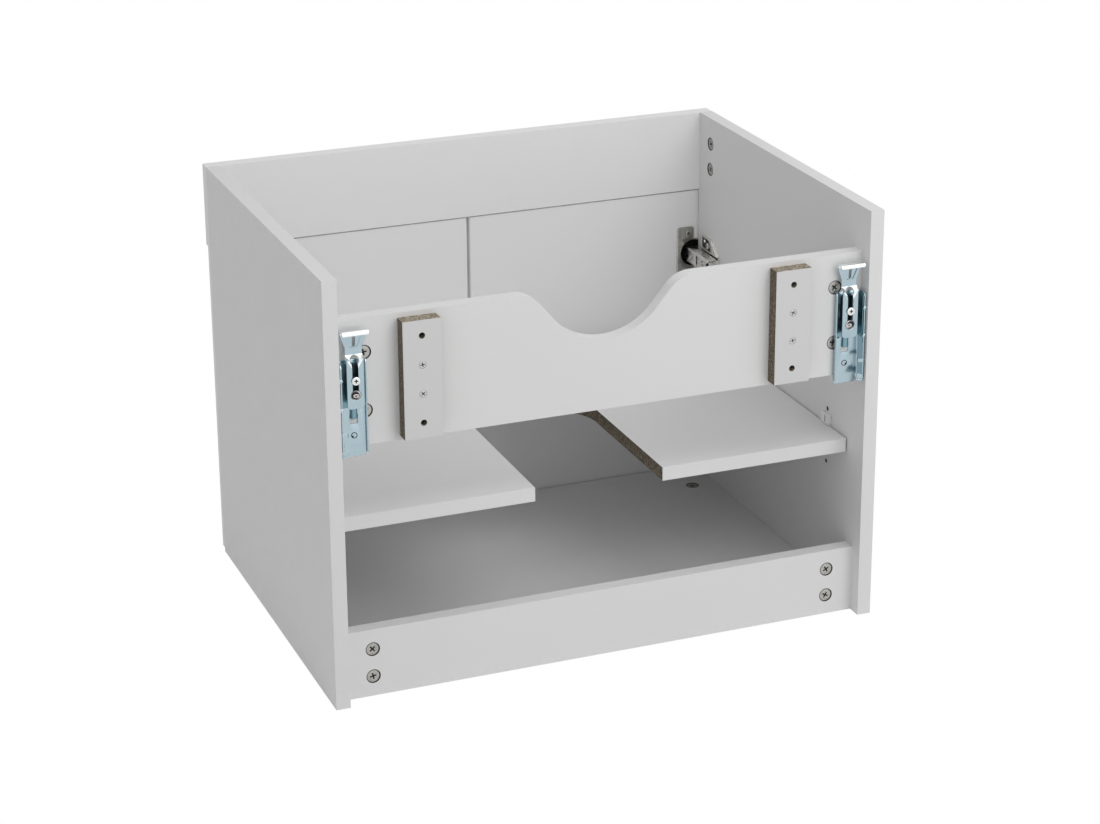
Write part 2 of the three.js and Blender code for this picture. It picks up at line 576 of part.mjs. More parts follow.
// ---- spacer blocks ----
const countersunkCutter = (x, z) => {
  const shank = SCREW_SHANK_DIAMETER / 2 + SCREW_GAP;
  const head = SCREW_HEAD_DIAMETER / 2 + SCREW_GAP;
  return join([
    rod('y', [x, z], RAIL_REAR_Y - OVERCUT, BLOCK_REAR_Y, shank, SMALL_ROUND),
    rod('y', [x, z], BLOCK_REAR_Y - SCREW_HEAD_HEIGHT - SCREW_GAP, BLOCK_REAR_Y, shank, SMALL_ROUND, head),
    rod('y', [x, z], BLOCK_REAR_Y - SCREW_GAP / 2, BLOCK_REAR_Y + OVERCUT, head, SMALL_ROUND),
  ]);
};

const spacerBlock = () => {
  const half = BLOCK_WIDTH / 2;
  const block = box(BLOCK_X - half, BLOCK_X + half, RAIL_REAR_Y, BLOCK_REAR_Y,
    BLOCK_BOTTOM, BLOCK_BOTTOM + BLOCK_HEIGHT);
  const holes = WALL_HOLE_Z.map((z) =>
    rod('y', [BLOCK_X, z], RAIL_REAR_Y - OVERCUT, BLOCK_REAR_Y + OVERCUT, WALL_HOLE_DIAMETER / 2,
      SMALL_ROUND));
  return cutAll(block, [...holes, ...BLOCK_SCREW_Z.map((z) => countersunkCutter(BLOCK_X, z))]);
};

// Cross recess cut into a face that looks to the rear.
const rearCross = (x, z, faceY, length, width, depth) => [
  box(x - length / 2, x + length / 2, faceY - depth, faceY + OVERCUT, z - width / 2, z + width / 2),
  box(x - width / 2, x + width / 2, faceY - depth, faceY + OVERCUT, z - length / 2, z + length / 2),
];

const blockScrew = (z) => {
  const screw = join([
    rod('y', [BLOCK_X, z], BLOCK_REAR_Y - SCREW_LENGTH, BLOCK_REAR_Y - SCREW_HEAD_HEIGHT,
      SCREW_SHANK_DIAMETER / 2, SMALL_ROUND),
    rod('y', [BLOCK_X, z], BLOCK_REAR_Y - SCREW_HEAD_HEIGHT - SCREW_GAP / 2, BLOCK_REAR_Y - SCREW_GAP / 2,
      SCREW_SHANK_DIAMETER / 2, SMALL_ROUND, SCREW_HEAD_DIAMETER / 2),
  ]);
  return cutAll(screw, rearCross(BLOCK_X, z, BLOCK_REAR_Y - SCREW_GAP / 2,
    SCREW_CROSS_LENGTH, SCREW_CROSS_WIDTH, SCREW_CROSS_DEPTH));
};

// ---- doors and hinges ----
const door = () => {
  const outline = roundedRect(DOOR_MEETING_GAP / 2, DOOR_OUTER_X, DOOR_INNER_Y - DOOR_BOARD, DOOR_INNER_Y,
    DOOR_EDGE_RADIUS);
  const panel = plateLevel(outline, DOOR_BOTTOM_GAP, DOOR_TOP, 3);
  const bores = HINGE_Z.map((z) =>
    rod('y', [CUP_X, z], DOOR_INNER_Y - CUP_DEPTH, DOOR_INNER_Y + OVERCUT, CUP_DIAMETER / 2 + CUP_BORE_GAP));
  return cutAll(panel, bores);
};

// Pressed cup with its wing on the door's inner face, two screw heads and the pivot pin across the bowl.
const hingeCup = (z) => {
  const radius = CUP_DIAMETER / 2;
  const screwZ = [-1, 1].map((n) => z + (n * WING_SCREW_SPACING) / 2);
  const screwTopY = DOOR_INNER_Y + WING_SCREW_HEIGHT;
  const wing = roundedRect(CUP_X - WING_INSET, CUP_X - WING_INSET + WING_WIDTH,
    z - WING_HEIGHT / 2, z + WING_HEIGHT / 2, WING_CORNER_RADIUS);
  const outside = join([
    rod('y', [CUP_X, z], DOOR_INNER_Y - CUP_DEPTH, CUP_FLANGE_Y, radius),
    plateAcross(wing, DOOR_INNER_Y, CUP_FLANGE_Y, 3),
    ...screwZ.map((at) =>
      rod('y', [WING_SCREW_X, at], DOOR_INNER_Y, screwTopY, WING_SCREW_DIAMETER / 2, SMALL_ROUND)),
  ]);
  const bowl = rod('y', [CUP_X, z], CUP_FLOOR_Y, CUP_FLANGE_Y + OVERCUT, radius - CUP_WALL);
  const screwCuts = screwZ.flatMap((at) =>
    rearCross(WING_SCREW_X, at, screwTopY, SCREW_CROSS_LENGTH, SCREW_CROSS_WIDTH, SCREW_CROSS_DEPTH));
  const barrel = rod('y', [CUP_X, z], CUP_FLOOR_Y, DOOR_INNER_Y, radius - CUP_WALL / 2);
  const pin = rod('z', [PIVOT_X, PIVOT_Y], z - radius, z + radius, PIVOT_PIN_DIAMETER / 2, SMALL_ROUND);
  return cutAll(outside, [bowl, ...screwCuts]).add(pin.intersect(barrel));
};

// Cranked arm: an eye round the pin, a flat neck out of the cup and a channel over the mounting plate.
const hingeArm = (z) => {
  const half = NECK_WIDTH / 2;
  const halfNeck = NECK_THICKNESS / 2;
  const eye = rod('z', [PIVOT_X, PIVOT_Y], z - half, z + half, EYE_DIAMETER / 2, SMALL_ROUND);
  const neck = plateLevel(shapeOf([
    [PIVOT_X, PIVOT_Y - halfNeck],
    [ARM_OUTER_X + NECK_THICKNESS, PIVOT_Y - halfNeck],
    [ARM_OUTER_X, PIVOT_Y + halfNeck],
    [ARM_OUTER_X, FRONT_EDGE_Y + NECK_END],
    [ARM_OUTER_X + NECK_THICKNESS, FRONT_EDGE_Y + NECK_END],
    [ARM_OUTER_X + NECK_THICKNESS, PIVOT_Y + NECK_THICKNESS],
    [ARM_OUTER_X + 2 * NECK_THICKNESS, PIVOT_Y + halfNeck],
    [PIVOT_X, PIVOT_Y + halfNeck],
  ]), z - half, z + half);
  const startY = FRONT_EDGE_Y + ARM_FRONT;
  const endY = FRONT_EDGE_Y + ARM_END;
  const sideView = shapeOf([
    [ARM_OUTER_X, startY],
    [ARM_OUTER_X + ARM_DEPTH, startY + ARM_TAPER],
    [ARM_OUTER_X + ARM_DEPTH, endY],
    [ARM_OUTER_X + ARM_SHEET, endY],
    [ARM_OUTER_X, endY - ARM_TAPER],
  ]);
  const channel = plateLevel(sideView, z - ARM_WIDTH / 2, z + ARM_WIDTH / 2);
  const hollow = box(ARM_WEB_X, SIDE_INNER, startY - OVERCUT, endY + OVERCUT,
    z - ARM_WIDTH / 2 + ARM_SHEET, z + ARM_WIDTH / 2 - ARM_SHEET);
  const heads = ARM_SCREWS.map((setback) =>
    rod('x', [FRONT_EDGE_Y + setback, z], ARM_WEB_X, ARM_OUTER_X - ARM_SCREW_HEIGHT,
      ARM_SCREW_DIAMETER / 2, SMALL_ROUND));
  const slots = ARM_SCREWS.map((setback) =>
    box(ARM_OUTER_X - ARM_SCREW_HEIGHT - OVERCUT, ARM_OUTER_X,
      FRONT_EDGE_Y + setback - SCREW_CROSS_WIDTH / 2, FRONT_EDGE_Y + setback + SCREW_CROSS_WIDTH / 2,
      z - SCREW_CROSS_LENGTH / 2, z + SCREW_CROSS_LENGTH / 2));
  const pinHole = rod('z', [PIVOT_X, PIVOT_Y], z - half - OVERCUT, z + half + OVERCUT,
    PIVOT_PIN_DIAMETER / 2 + PIVOT_GAP, SMALL_ROUND);
  return cutAll(join([eye, neck, channel.subtract(hollow), ...heads]), [pinHole, ...slots]);
};

// Mounting plate: wings that slope down to the rear, a raised base under the arm and two screw heads.
const hingePlate = (z) => {
  const start = FRONT_EDGE_Y + PLATE_WING_START;
  const end = FRONT_EDGE_Y + PLATE_WING_END;
  const upper = [
    [end, PLATE_WING_FOOT],
    [start + PLATE_WING_TIP, PLATE_HEIGHT / 2 - PLATE_WING_THICKNESS],
    [start + PLATE_WING_TIP - PLATE_WING_THICKNESS, PLATE_HEIGHT / 2],
    [start, PLATE_HEIGHT / 2],
  ];
  const lower = [...upper].reverse().map(([y, rise]) => [y, -rise]);
  const wing = shapeOf([...upper, ...lower].map(([y, rise]) => [y, z + rise]));
  const halfBase = ARM_WIDTH / 2 - ARM_SHEET - ARM_TO_PLATE_GAP;
  const wingX = SIDE_INNER - PLATE_WING_THICKNESS;
  const headX = wingX - PLATE_SCREW_HEIGHT;
  const screwZ = [-1, 1].map((n) => z + (n * PLATE_SCREW_SPACING) / 2);
  const solid = join([
    plateAlong(wing, wingX, SIDE_INNER),
    box(ARM_WEB_X, SIDE_INNER, FRONT_EDGE_Y + PLATE_BASE_START, FRONT_EDGE_Y + PLATE_BASE_END,
      z - halfBase, z + halfBase),
    ...screwZ.map((at) =>
      rod('x', [PLATE_Y, at], headX, wingX + OVERCUT, PLATE_SCREW_DIAMETER / 2, SMALL_ROUND)),
  ]);
  const halfCross = SCREW_CROSS_LENGTH / 2;
  const halfBlade = SCREW_CROSS_WIDTH / 2;
  const crosses = screwZ.flatMap((at) => [
    box(headX - OVERCUT, headX + SCREW_CROSS_DEPTH, PLATE_Y - halfCross, PLATE_Y + halfCross,
      at - halfBlade, at + halfBlade),
    box(headX - OVERCUT, headX + SCREW_CROSS_DEPTH, PLATE_Y - halfBlade, PLATE_Y + halfBlade,
      at - halfCross, at + halfCross),
  ]);
  return cutAll(solid, crosses);
};

// ---- hangers ----
// Folded channel: its bent plan view crossed with the side view of the flanges.
const hangerChannel = () => {
  const half = HANGER_SHEET / 2;
  const plan = bentSheet([
    [HANGER_INNER_X + half, HANGER_RIM_Y],
    [HANGER_INNER_X + half, RAIL_REAR_Y + half],
    [HANGER_OUTER_X - half, RAIL_REAR_Y + half],
    [HANGER_OUTER_X - half, HANGER_RIM_Y],
  ], HANGER_BEND, HANGER_SHEET);
  const flanges = shapeOf([
    [RAIL_REAR_Y, HANGER_BOTTOM],
    [HANGER_RIM_Y - HANGER_CORNER, HANGER_BOTTOM],
    [HANGER_RIM_Y, HANGER_BOTTOM + HANGER_CORNER],
    [HANGER_RIM_Y, HANGER_TOP - HANGER_CORNER],
    [HANGER_RIM_Y - HANGER_CORNER, HANGER_TOP],
    [RAIL_REAR_Y, HANGER_TOP],
  ]);
  return plateLevel(plan, HANGER_BOTTOM, HANGER_TOP)
    .intersect(plateAlong(flanges, HANGER_INNER_X, HANGER_OUTER_X));
};

// Half-round tongue, hollow behind, that rises from the base over the top of its window.
const hangerTongue = () => {
  const top = HANGER_TOP - TONGUE_DROP;
  const bottom = top - TONGUE_LENGTH;
  const radius = TONGUE_DIAMETER / 2;
  const barrel = rod('z', [HOOK_X, HANGER_BASE_Y], bottom, top, radius, SMALL_ROUND);
  const hollow = rod('z', [HOOK_X, HANGER_BASE_Y], bottom - OVERCUT, top - HANGER_SHEET,
    radius - HANGER_SHEET, SMALL_ROUND);
  const rear = box(HOOK_X - TONGUE_DIAMETER, HOOK_X + TONGUE_DIAMETER, HANGER_BASE_Y - PRESS_DEPTH,
    HANGER_RIM_Y, bottom - OVERCUT, top + OVERCUT);
  return barrel.intersect(rear).subtract(hollow);
};

// Half-round lug over the outer flange and the tilted tab at its foot.
const hangerLugs = () => {
  const lugZ = HANGER_TOP - LUG_DROP;
  const lugX = SIDE_INNER - HANGER_GAP - LUG_DIAMETER / 2;
  const ring = rod('z', [lugX, HANGER_RIM_Y - HANGER_SHEET], lugZ - LUG_WIDTH / 2, lugZ + LUG_WIDTH / 2,
    LUG_DIAMETER / 2, SMALL_ROUND);
  const eye = rod('z', [lugX, HANGER_RIM_Y - HANGER_SHEET], lugZ - LUG_WIDTH, lugZ + LUG_WIDTH,
    LUG_DIAMETER / 2 - HANGER_SHEET, SMALL_ROUND);
  const rearHalf = box(lugX - LUG_DIAMETER, lugX + LUG_DIAMETER, HANGER_RIM_Y - HANGER_CORNER, behind(0),
    lugZ - LUG_WIDTH, lugZ + LUG_WIDTH);
  const tabZ = HANGER_TOP - TAB_DROP;
  const tabX = SIDE_INNER - TAB_INSET;
  const tab = box(-TAB_SIZE / 2, TAB_SIZE / 2, -HANGER_CORNER, 0, -TAB_SIZE / 2, TAB_SIZE / 2)
    .subtract(box(-TAB_SIZE, TAB_SIZE / 2 - TAB_LIP, -HANGER_CORNER * 2, -HANGER_SHEET,
      -TAB_SIZE, TAB_SIZE))
    .rotate([0, TAB_TILT, 0])
    .translate([tabX, HANGER_RIM_Y - HANGER_CORNER / 2, tabZ]);
  return [ring.subtract(eye).intersect(rearHalf), tab];
};

const hangerHousing = () => {
  const tongueTop = HANGER_TOP - TONGUE_DROP;
  const halfWindow = (TONGUE_DIAMETER - HANGER_SHEET) / 2;
  const windowCut = box(HOOK_X - halfWindow, HOOK_X + halfWindow, RAIL_REAR_Y - OVERCUT,
    HANGER_BASE_Y + OVERCUT, tongueTop - TONGUE_LENGTH - WINDOW_LENGTH, tongueTop - HANGER_SHEET);
  const collars = PEG_Z.map((z) =>
    rod('x', [PEG_Y, z], HANGER_OUTER_X - HANGER_SHEET, HANGER_OUTER_X + HANGER_SIDE_GAP - HANGER_GAP,
      PEG_COLLAR_DIAMETER / 2, SMALL_ROUND));
  const pegs = PEG_Z.map((z) =>
    rod('x', [PEG_Y, z], HANGER_OUTER_X - HANGER_SHEET, HANGER_OUTER_X + HANGER_SIDE_GAP + PEG_LENGTH,
      PEG_DIAMETER / 2, SMALL_ROUND));
  const boss = rod('y', [HOOK_X, CLAMP_Z], RAIL_REAR_Y, HOOK_FRONT_Y - HANGER_GAP, CLAMP_BOSS_DIAMETER / 2,
    SMALL_ROUND);
  const markCut = rod('y', [HOOK_X, HANGER_TOP - MARK_DROP], HANGER_BASE_Y - PRESS_DEPTH,
    HANGER_BASE_Y + OVERCUT, MARK_DIAMETER / 2, SMALL_ROUND);
  const screwHole = rod('y', [HOOK_X, CLAMP_Z], HOOK_REAR_Y - CLAMP_SHANK_LENGTH - HANGER_GAP,
    HOOK_FRONT_Y, CLAMP_SHANK_DIAMETER / 2 + HANGER_GAP, SMALL_ROUND);
  const channel = cutAll(hangerChannel(), [windowCut, markCut]);
  return join([channel, hangerTongue(), ...collars, ...pegs, ...hangerLugs(), boss]).subtract(screwHole);
};

// Hook plate: its bent side view crossed with its front view, with a swaged panel on the claw.
const hookArm = () => {
  const half = HOOK_WIDTH / 2;
  const radius = HOOK_CORNER_RADIUS;
  const plateY = HOOK_REAR_Y - HOOK_SHEET / 2;
  const neckY = plateY - BEVEL_DEPTH;
  const clawY = neckY + CLAW_DEPTH;
  const topZ = CLAW_TOP_Z + CLAW_LIP_RISE + HOOK_SHEET;
  const sideView = bentSheet([
    [plateY, HOOK_BOTTOM_Z],
    [plateY, BEVEL_FOOT_Z],
    [neckY, NECK_Z],
    [neckY, CLAW_Z],
    [clawY, CLAW_TOP_Z],
    [clawY + CLAW_LIP_LENGTH, CLAW_TOP_Z + CLAW_LIP_RISE],
  ], HOOK_BEND, HOOK_SHEET);
  const frontView = new THREE.Shape();
  frontView.moveTo(HOOK_X - half, CLAW_Z);
  frontView.lineTo(HOOK_X - half, HOOK_BOTTOM_Z + radius);
  frontView.absarc(HOOK_X - half + radius, HOOK_BOTTOM_Z + radius, radius, Math.PI, 1.5 * Math.PI);
  frontView.lineTo(HOOK_X + half - radius, HOOK_BOTTOM_Z);
  frontView.absarc(HOOK_X + half - radius, HOOK_BOTTOM_Z + radius, radius, 1.5 * Math.PI, 2 * Math.PI);
  frontView.lineTo(HOOK_X + half, CLAW_Z);
  frontView.lineTo(HOOK_X + CLAW_HALF_WIDTH, CLAW_TOP_Z - HOOK_SHEET);
  frontView.lineTo(HOOK_X + CLAW_HALF_WIDTH, topZ);
  frontView.lineTo(HOOK_X - CLAW_HALF_WIDTH, topZ);
  frontView.lineTo(HOOK_X - CLAW_HALF_WIDTH, CLAW_TOP_Z - HOOK_SHEET);
  const plate = plateAlong(sideView, HOOK_X - CLAW_HALF_WIDTH, HOOK_X + CLAW_HALF_WIDTH)
    .intersect(plateAcross(frontView, neckY - HOOK_SHEET, behind(0), 3));
  const swageTop = CLAW_TOP_Z - HOOK_BEND;
  const swageView = shapeOf([
    [HOOK_X - SWAGE_BOTTOM_WIDTH / 2, swageTop - SWAGE_LENGTH],
    [HOOK_X + SWAGE_BOTTOM_WIDTH / 2, swageTop - SWAGE_LENGTH],
    [HOOK_X + SWAGE_TOP_WIDTH / 2, swageTop],
    [HOOK_X - SWAGE_TOP_WIDTH / 2, swageTop],
  ]);
  const swageSide = shapeOf([
    [neckY, CLAW_Z],
    [neckY + HOOK_SHEET / 2 + SWAGE_HEIGHT, CLAW_Z],
    [clawY + HOOK_SHEET / 2 + SWAGE_HEIGHT, CLAW_TOP_Z],
    [clawY, CLAW_TOP_Z],
  ]);
  const swage = plateAlong(swageSide, HOOK_X - CLAW_HALF_WIDTH, HOOK_X + CLAW_HALF_WIDTH)
    .intersect(plateAcross(swageView, neckY, behind(0)));
  const through = [neckY - HOOK_SHEET, behind(0)];
  const slotTop = swageTop - HOOK_SHEET;
  return cutAll(plate.add(swage), [
    rod('y', [HOOK_X, KEYHOLE_Z], ...through, KEYHOLE_DIAMETER / 2, SMALL_ROUND),
    box(HOOK_X - SLOT_WIDTH / 2, HOOK_X + SLOT_WIDTH / 2, ...through, ADJUSTER_Z, KEYHOLE_Z),
    rod('y', [HOOK_X, ADJUSTER_Z], ...through, ADJUSTER_HOLE_DIAMETER / 2, SMALL_ROUND),
    box(HOOK_X - CLAW_SLOT_WIDTH / 2, HOOK_X + CLAW_SLOT_WIDTH / 2, ...through,
      slotTop - CLAW_SLOT_LENGTH, slotTop),
  ]);
};

const clampScrew = () => {
  const underHead = HOOK_REAR_Y + HANGER_GAP;
  const faceY = underHead + CLAMP_HEAD_HEIGHT;
  const screw = join([
    rod('y', [HOOK_X, CLAMP_Z], HOOK_REAR_Y - CLAMP_SHANK_LENGTH, underHead, CLAMP_SHANK_DIAMETER / 2,
      SMALL_ROUND),
    rod('y', [HOOK_X, CLAMP_Z], underHead, faceY, CLAMP_HEAD_DIAMETER / 2, SMALL_ROUND),
  ]);
  return cutAll(screw, rearCross(HOOK_X, CLAMP_Z, faceY, SCREW_CROSS_LENGTH, SCREW_CROSS_WIDTH,
    SCREW_CROSS_DEPTH));
};

const heightAdjuster = () => {
  const shoulderY = HOOK_FRONT_Y - HANGER_GAP;
  const screw = join([
    rod('y', [HOOK_X, ADJUSTER_Z], shoulderY, HOOK_REAR_Y, ADJUSTER_HEAD_DIAMETER / 2, SMALL_ROUND),
    rod('y', [HOOK_X, ADJUSTER_Z], shoulderY - ADJUSTER_SHOULDER_HEIGHT, shoulderY,
      ADJUSTER_SHOULDER_DIAMETER / 2, SMALL_ROUND),
  ]);
  return cutAll(screw, rearCross(HOOK_X, ADJUSTER_Z, HOOK_REAR_Y, ADJUSTER_CROSS_LENGTH,
    SCREW_CROSS_WIDTH, SCREW_CROSS_DEPTH));
};

// ---- assembly ----
place('bottom_panel', bottomPanel(), melamine);
place('lower_back_rail', lowerRail(), melamine);
place('upper_back_rail', upperRail(), melamine);
place('fixed_front_panel', frontPanel(), melamine);
place('shelf', shelf(), melamine);

for (const [hand, side] of SIDES) {
  place(`${hand}_side_panel`, mirrored(sidePanel(), side), melamine);
  place(`${hand}_door`, mirrored(door(), side), melamine);
  place(`${hand}_spacer_block`, mirrored(spacerBlock(), side), melamine);
  place(`${hand}_hanger_housing`, mirrored(hangerHousing(), side), zincPlate);
  place(`${hand}_hanger_hook`, mirrored(hookArm(), side), zincPlate);
  place(`${hand}_hanger_clamp_screw`, mirrored(clampScrew(), side), zincPlate);
  place(`${hand}_hanger_height_screw`, mirrored(heightAdjuster(), side), zincPlate);
  const bottomCam = laidCam('up', [RAIL_CAM_X, BOTTOM_CAM_Y, BOARD - CAM_SUNK]);
  place(`${hand}_bottom_panel_cam`, mirrored(bottomCam, side), camZinc);
  LEVELS.forEach((level, i) => {
    place(`${hand}_${level}_spacer_screw`, mirrored(blockScrew(BLOCK_SCREW_Z[i]), side), zincPlate);
    const upperCam = laidCam('rear', [RAIL_CAM_X, RAIL_REAR_Y - CAM_SUNK, UPPER_CAM_Z[i]]);
    place(`${hand}_upper_rail_${level}_cam`, mirrored(upperCam, side), camZinc);
    const lowerCam = laidCam('rear', [RAIL_CAM_X, RAIL_REAR_Y - CAM_SUNK, LOWER_CAM_Z[i]]);
    place(`${hand}_lower_rail_${level}_cam`, mirrored(lowerCam, side), camZinc);
    const frontCam = laidCam('left', [SIDE_INNER + CAM_SUNK, FRONT_CAM_Y, FRONT_CAM_Z[i]]);
    place(`${hand}_front_panel_${level}_cam`, mirrored(frontCam, side), camZinc);
    place(`${hand}_${level}_hinge_cup`, mirrored(hingeCup(HINGE_Z[i]), side), nickelPlate);
    place(`${hand}_${level}_hinge_arm`, mirrored(hingeArm(HINGE_Z[i]), side), nickelPlate);
    place(`${hand}_${level}_hinge_plate`, mirrored(hingePlate(HINGE_Z[i]), side), nickelPlate);
  });
  ['rear', 'front'].forEach((row, i) => {
    place(`${hand}_${row}_shelf_clip`, mirrored(shelfClip(PIN_ROWS_Y[i]), side), clearPlastic);
  });
}

export default cabinet;
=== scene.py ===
"""Wall-hung cabinet for under a washbasin, seen from behind: materials, fine detail, light and camera.

The scene is in metres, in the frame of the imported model: doors towards -Y, wall towards +Y, floor at Z = 0.
Fittings are drawn in millimetres. Where both hands have one, it is drawn for the right (+X) and mirrored.
"""
import math

import bmesh
import bpy
from mathutils import Matrix, Vector


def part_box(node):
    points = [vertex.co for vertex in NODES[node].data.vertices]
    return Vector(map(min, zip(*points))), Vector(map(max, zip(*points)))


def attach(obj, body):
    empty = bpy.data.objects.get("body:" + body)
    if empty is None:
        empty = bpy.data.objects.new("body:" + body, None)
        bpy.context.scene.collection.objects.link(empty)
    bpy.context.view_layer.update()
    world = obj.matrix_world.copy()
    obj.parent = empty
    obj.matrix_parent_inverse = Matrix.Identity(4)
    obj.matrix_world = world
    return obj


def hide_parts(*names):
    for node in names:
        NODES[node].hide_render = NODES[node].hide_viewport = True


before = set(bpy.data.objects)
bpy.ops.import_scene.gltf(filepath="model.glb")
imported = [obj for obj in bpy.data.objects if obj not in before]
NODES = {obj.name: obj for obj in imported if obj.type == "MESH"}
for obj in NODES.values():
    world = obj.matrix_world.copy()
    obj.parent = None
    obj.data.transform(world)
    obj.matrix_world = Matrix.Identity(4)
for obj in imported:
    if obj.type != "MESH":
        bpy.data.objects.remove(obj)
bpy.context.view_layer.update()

MM = 0.001
HANDS = {"right": 1.0, "left": -1.0}


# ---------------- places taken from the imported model
class Packed:
    """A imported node's box in millimetres, rounded to a hundredth."""

    def __init__(self, name):
        low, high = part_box(name)
        self.low = [round(value / MM, 2) for value in low]
        self.high = [round(value / MM, 2) for value in high]
        self.middle = [round((a + b) / 2, 2) for a, b in zip(self.low, self.high)]


SIDE_INNER_X = Packed("right_side_panel").low[0]
SIDE_FRONT_Y = Packed("right_side_panel").low[1]
SIDE_REAR_Y = Packed("right_side_panel").high[1]
DOOR_INNER_Y = Packed("right_door").high[1]
RAIL_REAR_Y = Packed("upper_back_rail").high[1]
BLOCK_REAR_Y = Packed("right_spacer_block").high[1]
SHELF_BOTTOM = Packed("shelf").low[2]
SHELF_TOP = Packed("shelf").high[2]
SHELF_REAR_Y = Packed("shelf").high[1]


# ---------------- camera
CAMERA_AT = (1.0666, 2.7619, 1.3607)
CAMERA_TURN_DEG = (69.98951, 0.33765, 158.41399)
PHOTO_WIDTH_PX = 1100
FOCAL_PX = 2764.7
SENSOR_MM = 36.0
SHIFT_UP_PX = -60.0


def make_camera():
    data = bpy.data.cameras.new("camera")
    data.sensor_fit = "HORIZONTAL"
    data.sensor_width = SENSOR_MM
    data.lens = FOCAL_PX / PHOTO_WIDTH_PX * SENSOR_MM
    data.shift_y = SHIFT_UP_PX / PHOTO_WIDTH_PX
    data.clip_end = 50.0
    camera = bpy.data.objects.new("camera", data)
    camera.location = CAMERA_AT
    camera.rotation_euler = [math.radians(angle) for angle in CAMERA_TURN_DEG]
    bpy.context.scene.collection.objects.link(camera)
    bpy.context.scene.camera = camera


# ---------------- material helpers
class Nodes:
    """A material's node tree, with short names for the nodes used here."""

    def __init__(self, name):
        self.material = bpy.data.materials.new(name)
        self.material.use_nodes = True
        self.tree = self.material.node_tree
        self.tree.nodes.clear()
        self.out = self.add("ShaderNodeOutputMaterial")
        self.coords = self.add("ShaderNodeTexCoord")

    def add(self, kind, **settings):
        node = self.tree.nodes.new(kind)
        for key, value in settings.items():
            setattr(node, key, value)
        return node

    def link(self, source, target):
        self.tree.links.new(source, target)

    def shader(self, roughness, metallic=0.0):
        node = self.add("ShaderNodeBsdfPrincipled")
        node.inputs["Roughness"].default_value = roughness
        node.inputs["Metallic"].default_value = metallic
        self.link(node.outputs[0], self.out.inputs["Surface"])
        return node

    def axes(self, kind):
        """X, Y and Z of the Object or Normal coordinates."""
        node = self.add("ShaderNodeSeparateXYZ")
        self.link(self.coords.outputs[kind], node.inputs[0])
        return node.outputs

    def noise(self, scale, detail=3.0, roughness=0.5):
        node = self.add("ShaderNodeTexNoise")
        node.inputs["Scale"].default_value = scale
        node.inputs["Detail"].default_value = detail
        node.inputs["Roughness"].default_value = roughness
        self.link(self.coords.outputs["Object"], node.inputs["Vector"])
        return node.outputs["Fac"]

    def ramp(self, value, stops):
        node = self.add("ShaderNodeValToRGB")
        elements = node.color_ramp.elements
        while len(elements) < len(stops):
            elements.new(0.5)
        for element, (at, color) in zip(elements, stops):
            element.position = at
            element.color = (*color, 1.0)
        self.link(value, node.inputs["Fac"])
        return node.outputs["Color"]

    def soft_ramp(self, value, low, high):
        """Blends two colours over the middle of a noise."""
        return self.ramp(value, [(0.3, low), (0.7, high)])

    def math(self, operation, a, b=None):
        node = self.add("ShaderNodeMath", operation=operation)
        for socket, value in zip(node.inputs, (a, b)):
            if value is None:
                continue
            if isinstance(value, (int, float)):
                socket.default_value = value
            else:
                self.link(value, socket)
        return node.outputs[0]

    def within(self, value, limit):
        """1 where a value, without its sign, is under the limit."""
        return self.math("LESS_THAN", self.math("ABSOLUTE", value), limit)

    def mix(self, factor, a, b):
        node = self.add("ShaderNodeMix", data_type="RGBA")
        for socket, value in ((node.inputs["Factor"], factor), (node.inputs[6], a), (node.inputs[7], b)):
            if isinstance(value, tuple):
                socket.default_value = (*value, 1.0)
            else:
                self.link(value, socket)
        return node.outputs[2]

    def bump(self, height, distance, strength):
        node = self.add("ShaderNodeBump")
        node.inputs["Distance"].default_value = distance
        node.inputs["Strength"].default_value = strength
        self.link(height, node.inputs["Height"])
        return node.outputs["Normal"]


def srgb(r, g, b):
    """Linear colour of a displayed 0-255 colour."""
    return tuple(((c / 255 + 0.055) / 1.055) ** 2.4 if c > 10 else c / 255 / 12.92 for c in (r, g, b))


def gray(level):
    return (level, level, level)


# ---------------- materials
FOIL = srgb(227, 227, 227)
FOIL_SHADE = srgb(224, 224, 224)
BLOCK_FOIL_LEVEL = 0.87
# The doors and the fixed front have the same white foil, made lighter by this level: painted light.
FRONT_FOIL_PAINTED_LIGHT_LEVEL = 1.09
# Painted highlight on the edges of the doors and the fixed front.
PAINTED_EDGE_HIGHLIGHT = srgb(238, 238, 238)
CHIP_DARK = srgb(66, 58, 48)
CHIP_MID = srgb(104, 94, 80)
CHIP_LIGHT = srgb(142, 132, 114)
# The palest chip colour, only on faces that look up: painted light.
CHIP_PAINTED_TOP_LIGHT = srgb(196, 188, 172)

FOIL_CLOUD_SCALE = 4.0
FOIL_SHEEN_SCALE = 60.0
FOIL_GRAIN_SCALE = 900.0
FOIL_ROUGHNESS = (0.46, 0.56)
GRAIN_HEIGHT = 0.05
PIT_HEIGHT = 2.0
RAW_ROUGHNESS = 0.95
HALF_TURNED = 0.5  # size of a normal's part along an axis, under which the face looks away from that axis

SHELF_CUT_HALF = 75.0
SHELF_CUT_DEPTH = 242.0
CUT_SIDE_MARGIN = 0.6
CUT_END_MARGIN = 1.0
CUT_MOUTH_MARGIN = 0.4


def chip_noise(m):
    return m.noise(420.0, 3.0, 0.65)


def chip_color_and_top_light(m):
    """Chipboard flecks, with painted light that makes the faces that look up paler."""
    flecks = chip_noise(m)
    side = m.ramp(flecks, [(0.34, CHIP_DARK), (0.5, CHIP_MID), (0.66, CHIP_LIGHT)])
    top = m.ramp(flecks, [(0.34, CHIP_MID), (0.5, CHIP_LIGHT), (0.66, CHIP_PAINTED_TOP_LIGHT)])
    up = m.math("GREATER_THAN", m.axes("Normal")[2], HALF_TURNED)
    return m.mix(up, side, top)


def not_front_or_rear(m):
    """Every face of a board that doesn't look forwards or to the rear."""
    return m.within(m.axes("Normal")[1], HALF_TURNED)


